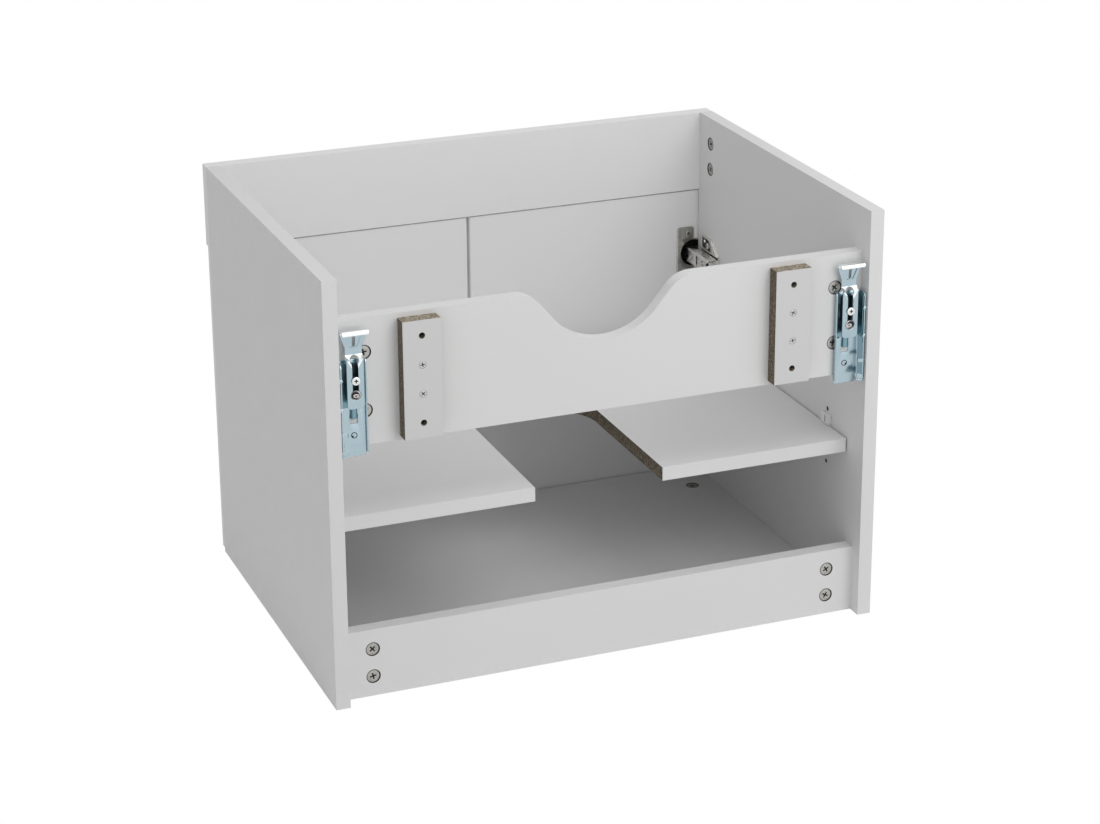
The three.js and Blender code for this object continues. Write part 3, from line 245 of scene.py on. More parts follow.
def shelf_raw(m):
    """The sawn edge of the shelf's cut-out: level normals, inside the cut-out's reach."""
    at = m.axes("Object")
    level = m.within(m.axes("Normal")[2], HALF_TURNED)
    near = m.within(at[0], (SHELF_CUT_HALF + CUT_SIDE_MARGIN) * MM)
    cut_end = SHELF_REAR_Y - SHELF_CUT_DEPTH - CUT_END_MARGIN
    behind_end = m.math("GREATER_THAN", at[1], cut_end * MM)
    before_mouth = m.math("LESS_THAN", at[1], (SHELF_REAR_Y - CUT_MOUTH_MARGIN) * MM)
    return m.math("MULTIPLY", m.math("MULTIPLY", level, near), m.math("MULTIPLY", behind_end, before_mouth))


def foil_material(name, raw_mask=None, level=1.0, edge_highlight_mask=None):
    """White melamine with a fine grain; the masks give where raw chipboard shows and where a painted
    highlight brightens the edges.
    """
    m = Nodes(name)
    shader = m.shader(0.5)
    shades = [tuple(level * part for part in shade) for shade in (FOIL_SHADE, FOIL)]
    color = m.soft_ramp(m.noise(FOIL_CLOUD_SCALE, 1.0), *shades)
    rough = m.soft_ramp(m.noise(FOIL_SHEEN_SCALE, 2.0), *[gray(value) for value in FOIL_ROUGHNESS])
    height = m.math("MULTIPLY", m.noise(FOIL_GRAIN_SCALE, 2.0), GRAIN_HEIGHT)
    if edge_highlight_mask:
        color = m.mix(edge_highlight_mask(m), color, PAINTED_EDGE_HIGHLIGHT)
    if raw_mask:
        mask = raw_mask(m)
        color = m.mix(mask, color, chip_color_and_top_light(m))
        rough = m.mix(mask, rough, gray(RAW_ROUGHNESS))
        pits = m.math("MULTIPLY", chip_noise(m), mask)
        height = m.math("ADD", height, m.math("MULTIPLY", pits, PIT_HEIGHT))
    m.link(color, shader.inputs["Base Color"])
    m.link(rough, shader.inputs["Roughness"])
    m.link(m.bump(height, 0.2 * MM, 0.6), shader.inputs["Normal"])
    return m.material


def metal_material(name, light, dark, roughness, scale, highlight_mask=None, highlight_color=None):
    """Plated metal; an optional mask function gives where a painted highlight brightens it to the highlight
    colour.
    """
    m = Nodes(name)
    shader = m.shader(roughness, metallic=1.0)
    color = m.soft_ramp(m.noise(scale, 4.0, 0.6), dark, light)
    if highlight_mask:
        color = m.mix(highlight_mask(m), color, highlight_color)
    blotches = m.soft_ramp(m.noise(scale * 3, 3.0, 0.6), gray(roughness * 0.75), gray(roughness * 1.3))
    m.link(color, shader.inputs["Base Color"])
    m.link(blotches, shader.inputs["Roughness"])
    m.link(m.bump(m.noise(scale * 6, 2.0), 0.05 * MM, 0.5), shader.inputs["Normal"])
    return m.material


def plastic_material(name, light, dark, roughness):
    m = Nodes(name)
    shader = m.shader(roughness)
    m.link(m.soft_ramp(m.noise(150.0, 2.0), dark, light), shader.inputs["Base Color"])
    m.link(m.bump(m.noise(1200.0, 2.0), 0.05 * MM, 0.4), shader.inputs["Normal"])
    return m.material


# ---------------- boards, shown as the frame gives them
BOARD_EDGE = 0.5
SHELF_EDGE = 0.4
BLOCK_EDGE = 0.25


def soften(obj, radius):
    """Rounds a board's edges."""
    weld = obj.modifiers.new("weld", "WELD")
    weld.merge_threshold = 0.00001
    flat = obj.modifiers.new("flat", "DECIMATE")
    flat.decimate_type = "DISSOLVE"
    flat.angle_limit = math.radians(1.0)
    bevel = obj.modifiers.new("edge", "BEVEL")
    bevel.width = radius * MM
    bevel.segments = 2
    bevel.limit_method = "ANGLE"
    bevel.angle_limit = math.radians(40)
    bevel.harden_normals = True


def dress(name, material, edge):
    board = NODES[name]
    board.data.materials.clear()
    board.data.materials.append(material)
    soften(board, edge)


def dress_boards():
    foil = foil_material("melamine_foil")
    shelf_foil = foil_material("shelf_foil", shelf_raw)
    block_foil = foil_material("block_foil", not_front_or_rear, BLOCK_FOIL_LEVEL)
    # Doors and fixed front: foil with painted light, and a painted highlight on their edges.
    front_foil_painted_light = foil_material("front_foil_painted_light", level=FRONT_FOIL_PAINTED_LIGHT_LEVEL, edge_highlight_mask=not_front_or_rear)
    for name in NODES:
        if name.endswith("_door") or name == "fixed_front_panel":
            dress(name, front_foil_painted_light, BOARD_EDGE)
        elif name.endswith(("_panel", "_rail")):
            dress(name, foil, BOARD_EDGE)
    dress("shelf", shelf_foil, SHELF_EDGE)
    for hand in HANDS:
        dress(f"{hand}_spacer_block", block_foil, BLOCK_EDGE)


# ---------------- mesh helpers
SMOOTH_UNDER_DEG = 35.0
SECOND, THIRD = 1, 2  # material indices


def add_piece(name, mesh, materials, body="carcass", side=1.0, instead_of=None):
    """Puts a mesh of millimetre coordinates into the scene, mirrored for the left side, riding on a body."""
    if side < 0:
        mesh.transform(Matrix.Scale(-1.0, 4, (1.0, 0.0, 0.0)))
        mesh.flip_normals()
    mesh.transform(Matrix.Scale(MM, 4))
    which = [0] * len(mesh.polygons)
    mesh.polygons.foreach_get("material_index", which)
    mesh.materials.clear()
    for material in materials:
        mesh.materials.append(material)
    mesh.polygons.foreach_set("material_index", which)
    mesh.polygons.foreach_set("use_smooth", [True] * len(mesh.polygons))
    mesh.set_sharp_from_angle(angle=math.radians(SMOOTH_UNDER_DEG))
    piece = bpy.data.objects.new(name, mesh)
    bpy.context.scene.collection.objects.link(piece)
    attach(piece, body)
    if instead_of:
        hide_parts(instead_of)


def painted(mesh, index):
    """Gives every face of a mesh the material of that index."""
    mesh.materials.clear()
    for _ in range(index + 1):
        mesh.materials.append(None)
    mesh.polygons.foreach_set("material_index", [index] * len(mesh.polygons))
    return mesh


def arc(u, v, radius, start, sweep, count):
    """Points on a circle, count steps from the start angle through the sweep."""
    angles = [start + sweep * i / count for i in range(count + 1)]
    return [(u + radius * math.cos(angle), v + radius * math.sin(angle)) for angle in angles]


def circle(u, v, radius, count=40):
    return arc(u, v, radius, 0.0, 2 * math.pi, count)[:-1]


def rect(u0, u1, v0, v1):
    return [(u0, v0), (u1, v0), (u1, v1), (u0, v1)]


def centred(u, v, width, height):
    return rect(u - width / 2, u + width / 2, v - height / 2, v + height / 2)


def rounded(points, radii, steps=5):
    """Closed outline whose corners are rounded, each by its own radius."""
    out = []
    if isinstance(radii, (int, float)):
        radii = [radii] * len(points)
    for i, (point, radius) in enumerate(zip(points, radii)):
        here = Vector(point)
        if radius <= 0:
            out.append(tuple(here))
            continue
        before = (Vector(points[i - 1]) - here).normalized()
        after = (Vector(points[(i + 1) % len(points)]) - here).normalized()
        half = before.angle(after) / 2
        back = radius / math.tan(half)
        middle = here + (before + after).normalized() * (radius / math.sin(half))
        start = here + before * back - middle
        end = here + after * back - middle
        turn = start.angle_signed(end)
        for k in range(steps + 1):
            out.append(tuple(middle + Matrix.Rotation(-turn * k / steps, 2) @ start))
    return out


def cross(u, v, length, width, turn_deg=0.0):
    """Outline of a cross recess."""
    a, b = length / 2, width / 2
    points = [(b, a), (-b, a), (-b, b)]
    for _ in range(3):
        points += [(-y, x) for x, y in points[-3:]]
    turn = Matrix.Rotation(math.radians(turn_deg), 2)
    return [tuple(turn @ Vector(point) + Vector((u, v))) for point in points]


def evaluated(holder):
    """The mesh that an object shows, which takes the object's place."""
    bpy.context.scene.collection.objects.link(holder)
    bpy.context.view_layer.update()
    graph = bpy.context.evaluated_depsgraph_get()
    mesh = bpy.data.meshes.new_from_object(holder.evaluated_get(graph))
    bpy.data.objects.remove(holder)
    return mesh


def flat_sheet(loops, thickness, edge):
    """A plate in the XY plane about Z = 0: first loop outside, the others holes, its edges rounded."""
    curve = bpy.data.curves.new("outline", "CURVE")
    curve.dimensions = "2D"
    curve.fill_mode = "BOTH"
    curve.extrude = thickness / 2 - edge
    curve.bevel_depth = edge
    curve.bevel_resolution = 2
    curve.offset = -edge
    for loop in loops:
        spline = curve.splines.new("POLY")
        spline.points.add(len(loop) - 1)
        for point, (u, v) in zip(spline.points, loop):
            point.co = (u, v, 0.0, 1.0)
        spline.use_cyclic_u = True
    mesh = evaluated(bpy.data.objects.new("outline", curve))
    bm = bmesh.new()
    bm.from_mesh(mesh)
    bmesh.ops.remove_doubles(bm, verts=bm.verts, dist=0.0005)
    bm.to_mesh(mesh)
    bm.free()
    return mesh


class BentPath:
    """A line with rounded corners, read by its length."""

    def __init__(self, corners, radii, steps=8):
        line = [Vector(corners[0])]
        for radius, before, corner, after in zip(radii, corners, corners[1:], corners[2:]):
            here = Vector(corner)
            back_way = (Vector(before) - here).normalized()
            on_way = (Vector(after) - here).normalized()
            back = radius / math.tan(back_way.angle(on_way) / 2)
            start, end = here + back_way * back, here + on_way * back
            for k in range(steps + 1):
                t = k / steps
                line.append(start.lerp(here, t).lerp(here.lerp(end, t), t))
        line.append(Vector(corners[-1]))
        self.line = line
        self.at = [0.0]
        for a, b in zip(line, line[1:]):
            self.at.append(self.at[-1] + (b - a).length)
        ways = [(b - a).normalized() for a, b in zip(line, line[1:])]
        self.tangent = [ways[0], *[(a + b).normalized() for a, b in zip(ways, ways[1:])], ways[-1]]

    @property
    def length(self):
        return self.at[-1]

    def frame(self, s):
        """Point on the line and its left-hand normal at length s."""
        i = 0
        while i < len(self.at) - 2 and s > self.at[i + 1]:
            i += 1
        t = (s - self.at[i]) / (self.at[i + 1] - self.at[i])
        point = self.line[i] + (self.line[i + 1] - self.line[i]) * t
        t = min(max(t, 0.0), 1.0)
        tangent = (self.tangent[i] * (1 - t) + self.tangent[i + 1] * t).normalized()
        return point, Vector((-tangent[1], tangent[0]))

    def lifted(self, s, height):
        """Point at length s, off the line by height."""
        point, normal = self.frame(s)
        return point + normal * height


def steps_between(start, end, step):
    count = max(1, round((end - start) / step))
    return [start + (end - start) * i / count for i in range(count + 1)]


def press(sheet, across, along, place):
    """Cuts a flat sheet at the given lines, then puts each point (across, along, height) where place says."""
    bm = bmesh.new()
    bm.from_mesh(sheet)
    for values, axis in ((across, 0), (along, 1)):
        for value in values:
            at, normal = [0.0] * 3, [0.0] * 3
            at[axis], normal[axis] = value, 1.0
            parts = list(bm.verts) + list(bm.edges) + list(bm.faces)
            bmesh.ops.bisect_plane(bm, geom=parts, plane_co=at, plane_no=normal, dist=0.00001)
    for vert in bm.verts:
        vert.co = place(*vert.co)
    bmesh.ops.recalc_face_normals(bm, faces=bm.faces)
    bm.to_mesh(sheet)
    bm.free()
    return sheet


def bent(sheet, path, place):
    """Bends a sheet drawn as (across, along) over a path; place takes across and the path's point."""
    return press(sheet, [], path.at[1:-1], lambda a, s, height: place(a, *path.lifted(s, height)))


def facing(sheet, axis, base):
    """Turns a flat sheet's XY plane to face along an axis, its middle plane at base."""
    turns = {
        "y": Matrix(((1, 0, 0, 0), (0, 0, 1, base), (0, 1, 0, 0), (0, 0, 0, 1))),
        "x": Matrix(((0, 0, 1, base), (1, 0, 0, 0), (0, 1, 0, 0), (0, 0, 0, 1))),
    }
    sheet.transform(turns[axis])
    if axis == "y":
        sheet.flip_normals()
    return sheet


def lathe(profile, count=48):
    """A solid of revolution about Z from (radius, height) points."""
    bm = bmesh.new()
    rings = []
    for radius, height in profile:
        ring = [(0, 0)] if radius == 0 else circle(0, 0, radius, count)
        rings.append([bm.verts.new((x, y, height)) for x, y in ring])
    for low, high in zip(rings, rings[1:]):
        for i in range(count):
            j = (i + 1) % count
            corners = [low[i % len(low)], low[j % len(low)], high[j % len(high)], high[i % len(high)]]
            corners = list(dict.fromkeys(corners))
            if len(corners) > 2:
                bm.faces.new(corners)
    bmesh.ops.recalc_face_normals(bm, faces=bm.faces)
    mesh = bpy.data.meshes.new("lathe")
    bm.to_mesh(mesh)
    bm.free()
    return mesh


def cylinder(radius, bottom, top, count=48):
    return lathe([(0, bottom), (radius, bottom), (radius, top), (0, top)], count)


def stud(radius, shoulder, tip_radius, length, count=48):
    """Round stud standing on Z = 0: straight up to its shoulder, then narrowing to its tip."""
    return lathe([(0, 0), (radius, 0), (radius, shoulder), (tip_radius, length), (0, length)], count)


def shell(rows, capped=False):
    """A sheet without thickness through rows of points."""
    bm = bmesh.new()
    rows = [[bm.verts.new(point) for point in row] for row in rows]
    for a, b in zip(rows, rows[1:]):
        for i in range(len(a) - 1):
            bm.faces.new((a[i], a[i + 1], b[i + 1], b[i]))
    if capped:
        bm.faces.new(rows[0])
    mesh = bpy.data.meshes.new("shell")
    bm.to_mesh(mesh)
    bm.free()
    return mesh


def thickened(mesh, thickness):
    """A shell made solid."""
    holder = bpy.data.objects.new("shell", mesh)
    solid = holder.modifiers.new("solid", "SOLIDIFY")
    solid.thickness = thickness
    solid.use_even_offset = True
    return evaluated(holder)


def merged(*meshes):
    """One mesh from several."""
    bm = bmesh.new()
    for mesh in meshes:
        bm.from_mesh(mesh)
        bpy.data.meshes.remove(mesh)
    out = bpy.data.meshes.new("merged")
    bm.to_mesh(out)
    bm.free()
    return out


def moved(mesh, x=0.0, y=0.0, z=0.0, turn=None):
    """Turns a mesh by (degrees, axis) about the origin, then moves it."""
    if turn:
        degrees, axis = turn
        mesh.transform(Matrix.Rotation(math.radians(degrees), 4, axis))
    mesh.transform(Matrix.Translation((x, y, z)))
    return mesh


def rear_facing(mesh, x, y, z):
    """Turns a mesh that looks up to look to the rear."""
    return moved(mesh, x, y, z, (-90, "X"))


def inward_facing(mesh, x, y, z):
    """Turns a mesh that looks up to look from the right side into the cabinet."""
    return moved(mesh, x, y, z, (-90, "Y"))


def outward_facing(mesh, x, y, z):
    """Turns a mesh that looks up to look out through the right side."""
    return moved(mesh, x, y, z, (90, "Y"))


HEAD_SHEET = 1.4
RECESS_FLOOR = -0.4


def screw_head(diameter, height, cross_length, cross_width, crown=0.0, turn=0.0):
    """A screw head about Z: its top at Z = 0 with a cross recess, whose floor has the second material."""
    radius = diameter / 2
    sheet = min(height, HEAD_SHEET)
    recess = cross(0, 0, cross_length, cross_width, turn)
    top = moved(flat_sheet([circle(0, 0, radius, 48), recess], sheet, 0.25), z=-sheet / 2)
    profile = [(0, RECESS_FLOOR), (radius * 0.9, RECESS_FLOOR), (radius * 0.97, -height), (0, -height)]
    body = painted(lathe(profile), SECOND)
    for vert in top.vertices:
        if vert.co.z > RECESS_FLOOR:
            reach = vert.co.xy.length / radius
            vert.co.z += crown * (1 - reach * reach)
    return merged(top, body)


# ---------------- wall hangers
SHEET = 1.5
HOUSING_X = (Packed("right_hanger_housing").low[0], SIDE_INNER_X - 1.5)
HOUSING_Y = (RAIL_REAR_Y, RAIL_REAR_Y + 15.0)
HOUSING_Z = (284.0, Packed("right_hanger_housing").high[2])
HOUSING_FOOT = 279.6
INNER_RIM_Y = 220.5
WINDOW_Z = (315.8, 326.5)
WINDOW_HALF = 4.4
PEG_Y = 222.2
PEG_LEVELS = (369.0, 337.0)
RIVET_Y = 228.2
TONGUE_TOP = 338.0
TONGUE_LENGTH = 15.6
TONGUE_RADIUS = 4.0
CARRIAGE_GAP = 0.5
CARRIAGE_SHEET = 0.9
CARRIAGE_Z = (334.5, 384.0)

HOOK_X = Packed("right_hanger_clamp_screw").middle[0]
CLAMP_Z = Packed("right_hanger_clamp_screw").middle[2]
ADJUSTER_Z = Packed("right_hanger_height_screw").middle[2]
CLAMP_Y = 228.4
ADJUSTER_Y = 225.7
PLATE_Y = 225.4
PLATE_FOOT = Packed("right_hanger_hook").low[2]
PLATE_HALF = 9.25
PLATE_SHEET = 2.0
NECK_SET_BACK = 5.0
SLOT_HALF = 3.2
KEYHOLE_Z = 388.5
KEYHOLE_RADIUS = 5.0
ADJUSTER_HOLE_RADIUS = 5.5
FACET_FOOT = 380.0
FACET_RISE = 10.5
FACET_TOP = 394.0
CLAW_FOOT = 402.0
CLAW_WIDE_Z = 416.0
CLAW_HALF = 14.4
LIP_Z = 420.6
# How far below the lip the hook's painted highlight reaches.
HIGHLIGHT_UNDER_LIP = 3.6
SWAGE_Z = (401.8, 418.5)
SWAGE_HALF = 4.6
SWAGE_FLARE = 0.38
SWAGE_HEIGHT = 0.9
SWAGE_FLANK = 2.3
RIB_Z = (403.4, 414.6)
PRESS_STEP = 0.6


def clamp(value, low=0.0, high=1.0):
    return min(max(value, low), high)


def hook_highlight_mask(m):
    """Where the hook has a painted highlight: its two sloping facets beside its keyhole, and its bent lip."""
    at = m.axes("Object")
    across = m.math("ABSOLUTE", m.math("SUBTRACT", m.math("ABSOLUTE", at[0]), HOOK_X * MM))
    reach = m.math("SUBTRACT", m.math("MAXIMUM", across, SLOT_HALF * MM), SLOT_HALF * MM)
    slope = FACET_RISE / (PLATE_HALF - SLOT_HALF)
    foot = m.math("ADD", m.math("MULTIPLY", reach, slope), FACET_FOOT * MM)
    above_foot = m.math("GREATER_THAN", at[2], foot)
    facet = m.math("MULTIPLY", above_foot, m.math("LESS_THAN", at[2], FACET_TOP * MM))
    lip = m.math("GREATER_THAN", at[2], (LIP_Z - HIGHLIGHT_UNDER_LIP) * MM)
    return m.math("MAXIMUM", facet, lip)


def eased(t):
    """0 to 1 with short rounded ends."""
    t = clamp(t)
    return 0.7 * t + 0.3 * t * t * (3 - 2 * t)


def hook_drop(u, z):
    """How far the hook plate is set back: two sloping facets flank the keyhole."""
    reach = clamp(abs(u), SLOT_HALF, PLATE_HALF) - SLOT_HALF
    foot = FACET_FOOT + reach / (PLATE_HALF - SLOT_HALF) * FACET_RISE
    return NECK_SET_BACK * eased((z - foot) / (FACET_TOP - foot))


def swage_height(u, z):
    """Raised trapezoid on the claw; z runs along the sheet."""
    low, high = SWAGE_Z
    if not low < z < high:
        return 0.0
    half = SWAGE_HALF + (z - CLAW_FOOT) * SWAGE_FLARE
    side = clamp((half - abs(u)) / SWAGE_FLANK)
    foot = clamp((z - low) / 1.4)
    top = clamp((high - z) / 2.5)
    return SWAGE_HEIGHT * side * side * (3 - 2 * side) * foot * top


def slot_end(v, radius, mouth):
    """Round end of the hook's slot about height v, open towards the mouth's angle."""
    rise = math.asin(SLOT_HALF / radius)
    return arc(0, v, radius, mouth + rise, 2 * math.pi - 2 * rise, 40)


def hook_mesh():
    """Hook plate with its slot, neck, claw and bent lip, drawn as (across, along the sheet)."""
    path = BentPath([(PLATE_Y, PLATE_FOOT), (PLATE_Y, CLAW_FOOT), (PLATE_Y + 1.6, LIP_Z - 0.8),
                     (PLATE_Y + 9.8, LIP_Z + 0.2), (PLATE_Y + 10.0, LIP_Z - 3.4)], [3, 2.6, 1.6])
    right = [(PLATE_HALF, 0), (PLATE_HALF, CLAW_FOOT - PLATE_FOOT), (CLAW_HALF, CLAW_WIDE_Z - PLATE_FOOT),
             (CLAW_HALF, path.length)]
    radii = [4, 3, 2, 1.6]
    outline = rounded(right + [(-u, v) for u, v in right[::-1]], radii + radii[::-1])
    slot = slot_end(KEYHOLE_Z - PLATE_FOOT, KEYHOLE_RADIUS, -math.pi / 2)
    slot += slot_end(ADJUSTER_Z - PLATE_FOOT, ADJUSTER_HOLE_RADIUS, math.pi / 2)
    rib = rounded(rect(-1.5, 1.5, RIB_Z[0] - PLATE_FOOT, RIB_Z[1] - PLATE_FOOT), 1.4)

    def place(u, s, height):
        y, z = path.lifted(s, height - swage_height(u, s + PLATE_FOOT))
        return (HOOK_X + u, y - hook_drop(u, path.lifted(s, 0)[1]), z)

    across = steps_between(PRESS_STEP - CLAW_HALF, CLAW_HALF - PRESS_STEP, PRESS_STEP)
    along = steps_between(38.0, path.length - 0.5, PRESS_STEP)
    return press(flat_sheet([outline, slot, rib], PLATE_SHEET, 0.35), across, along, place)


def housing_mesh():
    """Outer channel, drawn as (height, along the bent section)."""
    half = SHEET / 2
    x0, x1 = HOUSING_X[0] + half, HOUSING_X[1] - half
    y0, y1 = HOUSING_Y[0] + half, HOUSING_Y[1]
    z0, z1 = HOUSING_Z
    path = BentPath([(x0, INNER_RIM_Y), (x0, y0), (x1, y0), (x1, y1)], [2.4, 2.4])
    middle = (path.length - (y1 - INNER_RIM_Y)) / 2 + (HOOK_X - (x0 + x1) / 2)
    flange = path.length - (HOUSING_Y[1] - HOUSING_Y[0])
    outline = rounded([(z0, 0), (z1, 0), (z1, path.length), (z0, path.length), (z0, flange),
                       (HOUSING_FOOT, flange - 2.0), (HOUSING_FOOT, 6.0), (z0, 4.5)],
                      [2, 3.5, 5, 3, 0.5, 1, 1, 0.5])
    window = rounded(rect(*WINDOW_Z, middle - WINDOW_HALF, middle + WINDOW_HALF), 0.8)
    pin = circle(334.0, middle - 8.0, 1.3, 20)
    return bent(flat_sheet([outline, window, pin], SHEET, 0.3), path, lambda z, x, y: (x, y, z))


def carriage_mesh():
    """The inner channel in the upper half of the housing, in which the hook slides."""
    wall = SHEET + CARRIAGE_GAP
    x0, x1 = HOUSING_X[0] + wall, HOUSING_X[1] - wall
    y0, y1 = HOUSING_Y[0] + wall, HOUSING_Y[1] - 2.2
    path = BentPath([(x0, INNER_RIM_Y - 0.8), (x0, y0), (x1, y0), (x1, y1)], [1.6, 1.6])
    outline = rounded(rect(*CARRIAGE_Z, 0, path.length), [1.5, 1.5, 3, 2.5])
    return bent(flat_sheet([outline], CARRIAGE_SHEET, 0.25), path, lambda z, x, y: (x, y, z))


def half_turn(step_deg):
    """(cosine, sine) pairs over half a turn."""
    angles = [math.radians(degrees) for degrees in range(0, 181, step_deg)]
    return [(math.cos(angle), math.sin(angle)) for angle in angles]


def tongue_mesh():
    """Half-round tongue pressed out of the base over its window."""
    root = HOUSING_Y[0] + SHEET - 0.4
    rows = []
    for drop, swell in ((0.0, 0.82), (1.0, 0.97), (2.5, 1.0), (TONGUE_LENGTH, 1.0)):
        radius, z = TONGUE_RADIUS * swell, TONGUE_TOP - drop
        rows.append([(HOOK_X + radius * c, root + radius * 1.05 * s, z) for c, s in half_turn(12)])
    return thickened(shell(rows, capped=True), -1.0)


def lug_mesh():
    """Half-round lug on the side flange."""
    x, y, z = HOUSING_X[1] - 2.6, 226.5, 309.0
    radius, width = 3.6, 4.2
    rows = [[(x + radius * c, y + radius * 0.72 * s, z + rise) for rise in (-width / 2, width / 2)]
            for c, s in half_turn(10)]
    return thickened(shell(rows), 1.2)


def tab_mesh():
    """Tab with two holes at the flange's foot."""
    holes = [circle(u, -1.6, 0.7, 16) for u in (-2.0, 1.6)]
    tab = flat_sheet([rounded(centred(0, 0, 8.4, 8), 0.7), *holes], 1.4, 0.3)
    return moved(facing(tab, "y", 0), HOUSING_X[1] - 4.0, 228.0, 288.6, (16, "Y"))


def make_housing(hand, side, look):
    flange_x = HOUSING_X[1]
    base_y = HOUSING_Y[0] + SHEET
    parts = [housing_mesh(), painted(tongue_mesh(), SECOND)]
    parts += [outward_facing(cylinder(5, 0, 1.0), flange_x, PEG_Y, z) for z in PEG_LEVELS]
    parts += [outward_facing(stud(4, 8.4, 3.2, 9.4), flange_x - 0.2, PEG_Y, z) for z in PEG_LEVELS]
    parts += [rear_facing(stud(2.2, 0.9, 1.6, 1.2), flange_x - 0.4, RIVET_Y, z) for z in PEG_LEVELS]
    ring = flat_sheet([circle(0, 0, 3.4), circle(0, 0, 2.6)], 0.5, 0.1125)
    dot = lathe([(0, 0), (1.1, 0), (0.9, 0.35), (0, 0.4)], 20)
    marks = [rear_facing(ring, HOOK_X, base_y, 303.0), rear_facing(dot, HOOK_X + 1.6, base_y, 302.0)]
    housing = merged(*parts, lug_mesh(), tab_mesh(), painted(merged(*marks), THIRD))
    add_piece(f"{hand}_hanger_channel", housing, [look["zinc"], look["zinc_shaded"], look["zinc_marks_and_shade"]],
              side=side, instead_of=f"{hand}_hanger_housing")


def make_carriage(hand, side, look):
    boss = rear_facing(stud(4.2, 4.4, 3.8, 4.8, 40), HOOK_X, 219.0, CLAMP_Z)
    block = flat_sheet([rounded(rect(HOOK_X - 5.5, HOOK_X + 5.5, 340.0, 383.0), 2)], 3.4, 0.6)
    # The boss and the block behind the hook's slot get the dark zinc: painted shade inside the housing.
    inner = painted(merged(boss, facing(block, "y", 218.6)), SECOND)
    carriage = merged(carriage_mesh(), inner)
    add_piece(f"{hand}_hanger_carriage", carriage, [look["zinc_shaded"], look["zinc_marks_and_shade"]],
              side=side)


def make_hook(hand, side, look):
    add_piece(f"{hand}_hook_plate", hook_mesh(), [look["hook_zinc_painted_highlight"]], f"{hand}_hook", side,
              f"{hand}_hanger_hook")


def make_clamp_screw(hand, side, look):
    head = rear_facing(screw_head(9.0, 2.0, 4.4, 1.2, crown=0.35), HOOK_X, CLAMP_Y, CLAMP_Z)
    add_piece(f"{hand}_clamp_screw_head", head, [look["bright_screw"], look["recess"]],
              side=side, instead_of=f"{hand}_hanger_clamp_screw")


def make_height_screw(hand, side, look):
    """Rim set off its centre round a dark dish, with a keyed face that shows the screw's turn."""
    rim = flat_sheet([circle(0, 0, 5.1, 48), circle(0.5, 0.5, 4.4)], 1.2, 0.15)
    dish = painted(cylinder(5.0, -1.6, -0.7, 40), SECOND)
    key = rounded([(-3.3, 2.9), (-1.0, 3.6), (2.4, 2.4), (2.8, 0.0), (0.6, -1.2), (-3.4, -0.4)], 0.5)
    key = flat_sheet([key, cross(-0.4, 1.2, 2.8, 0.6, 20)], 0.8, 0.2)
    screw = rear_facing(merged(moved(rim, z=0.05), dish, moved(key, z=-0.35)), HOOK_X, ADJUSTER_Y, ADJUSTER_Z)
    add_piece(f"{hand}_height_screw_head", screw, [look["pale_screw"], look["recess"]],
              f"{hand}_height_screw", side, f"{hand}_hanger_height_screw")


# ---------------- cam locks and spacer screws
CAM_SHIFT = 0.35  # the rear cams sit beside the middle of their bores
CAM_RADIUS = 7.05
BORE_RIM = (7.25, 8.0)  # inner and outer radius
REAR_CAM_TURNS = {
    "right": {"upper_rail_upper": 12, "upper_rail_lower": 30, "lower_rail_upper": 41, "lower_rail_lower": 12},
    "left": {"upper_rail_upper": 50, "upper_rail_lower": 78, "lower_rail_upper": 30, "lower_rail_lower": 62},
}
FRONT_CAM_TURNS = {
    "right": {"upper": 36, "lower": 69},
    "left": {"upper": 14, "lower": 47},
}
BOTTOM_CAM_TURNS = {"right": 75, "left": 35}
SPACER_SCREW_TURNS = {
    "right": {"upper": 8, "lower": 40},
    "left": {"upper": 66, "lower": 20},
}
SPACER_SCREW_LENGTH = 26.0


def pointer(turn):
    """Small arrow between two arms of the cam's cross."""
    tip = Matrix.Rotation(math.radians(turn + 45), 2)
    return [tuple(tip @ Vector(point)) for point in ((5.9, 0.0), (4.9, 0.7), (4.9, -0.7))]


def cam_mesh(turn, shift=0.0):
    """A cam about Z, its face at 0 and off the bore's centre by shift; the bore is the second material, raw
    chipboard darkened by painted shade, which also paints the shade under the cam's face.
    """
    face = flat_sheet([circle(0, 0, CAM_RADIUS, 48), cross(0, 0, 7.4, 1.7, turn), pointer(turn)], 1.2, 0.22)
    body = lathe([(0, -2.4), (6.6, -2.4), (6.9, -1.2), (6.4, RECESS_FLOOR), (0, RECESS_FLOOR)])
    bore = lathe([(7.3, 0.42), (7.3, -4.0), (0, -4.0)])
    rim = flat_sheet([circle(0, 0, BORE_RIM[1], 56), circle(0, 0, BORE_RIM[0], 56)], 0.12, 0.02)
    return merged(moved(face, x=shift, z=-0.6), painted(moved(body, x=shift), SECOND), painted(bore, SECOND),
                  painted(moved(rim, z=0.41), SECOND))


def make_cams(look):
    for hand, side in HANDS.items():
        placed = {}
        for joint, turn in REAR_CAM_TURNS[hand].items():
            at = Packed(f"{hand}_{joint}_cam")
            placed[joint] = rear_facing(cam_mesh(turn, CAM_SHIFT), at.middle[0], at.high[1], at.middle[2])
        for level, turn in FRONT_CAM_TURNS[hand].items():
            at = Packed(f"{hand}_front_panel_{level}_cam")
            face_x = at.low[0] if side > 0 else at.high[0]
            placed[f"front_panel_{level}"] = moved(cam_mesh(turn), face_x, *at.middle[1:], (-90 * side, "Y"))
        at = Packed(f"{hand}_bottom_panel_cam")
        placed["bottom_panel"] = moved(cam_mesh(BOTTOM_CAM_TURNS[hand]), *at.middle[:2], at.high[2])
        for joint, mesh in placed.items():
            name = f"{hand}_{joint}_cam"
            add_piece(f"{name}_face", mesh, [look["cam"], look["bore"]], instead_of=name)


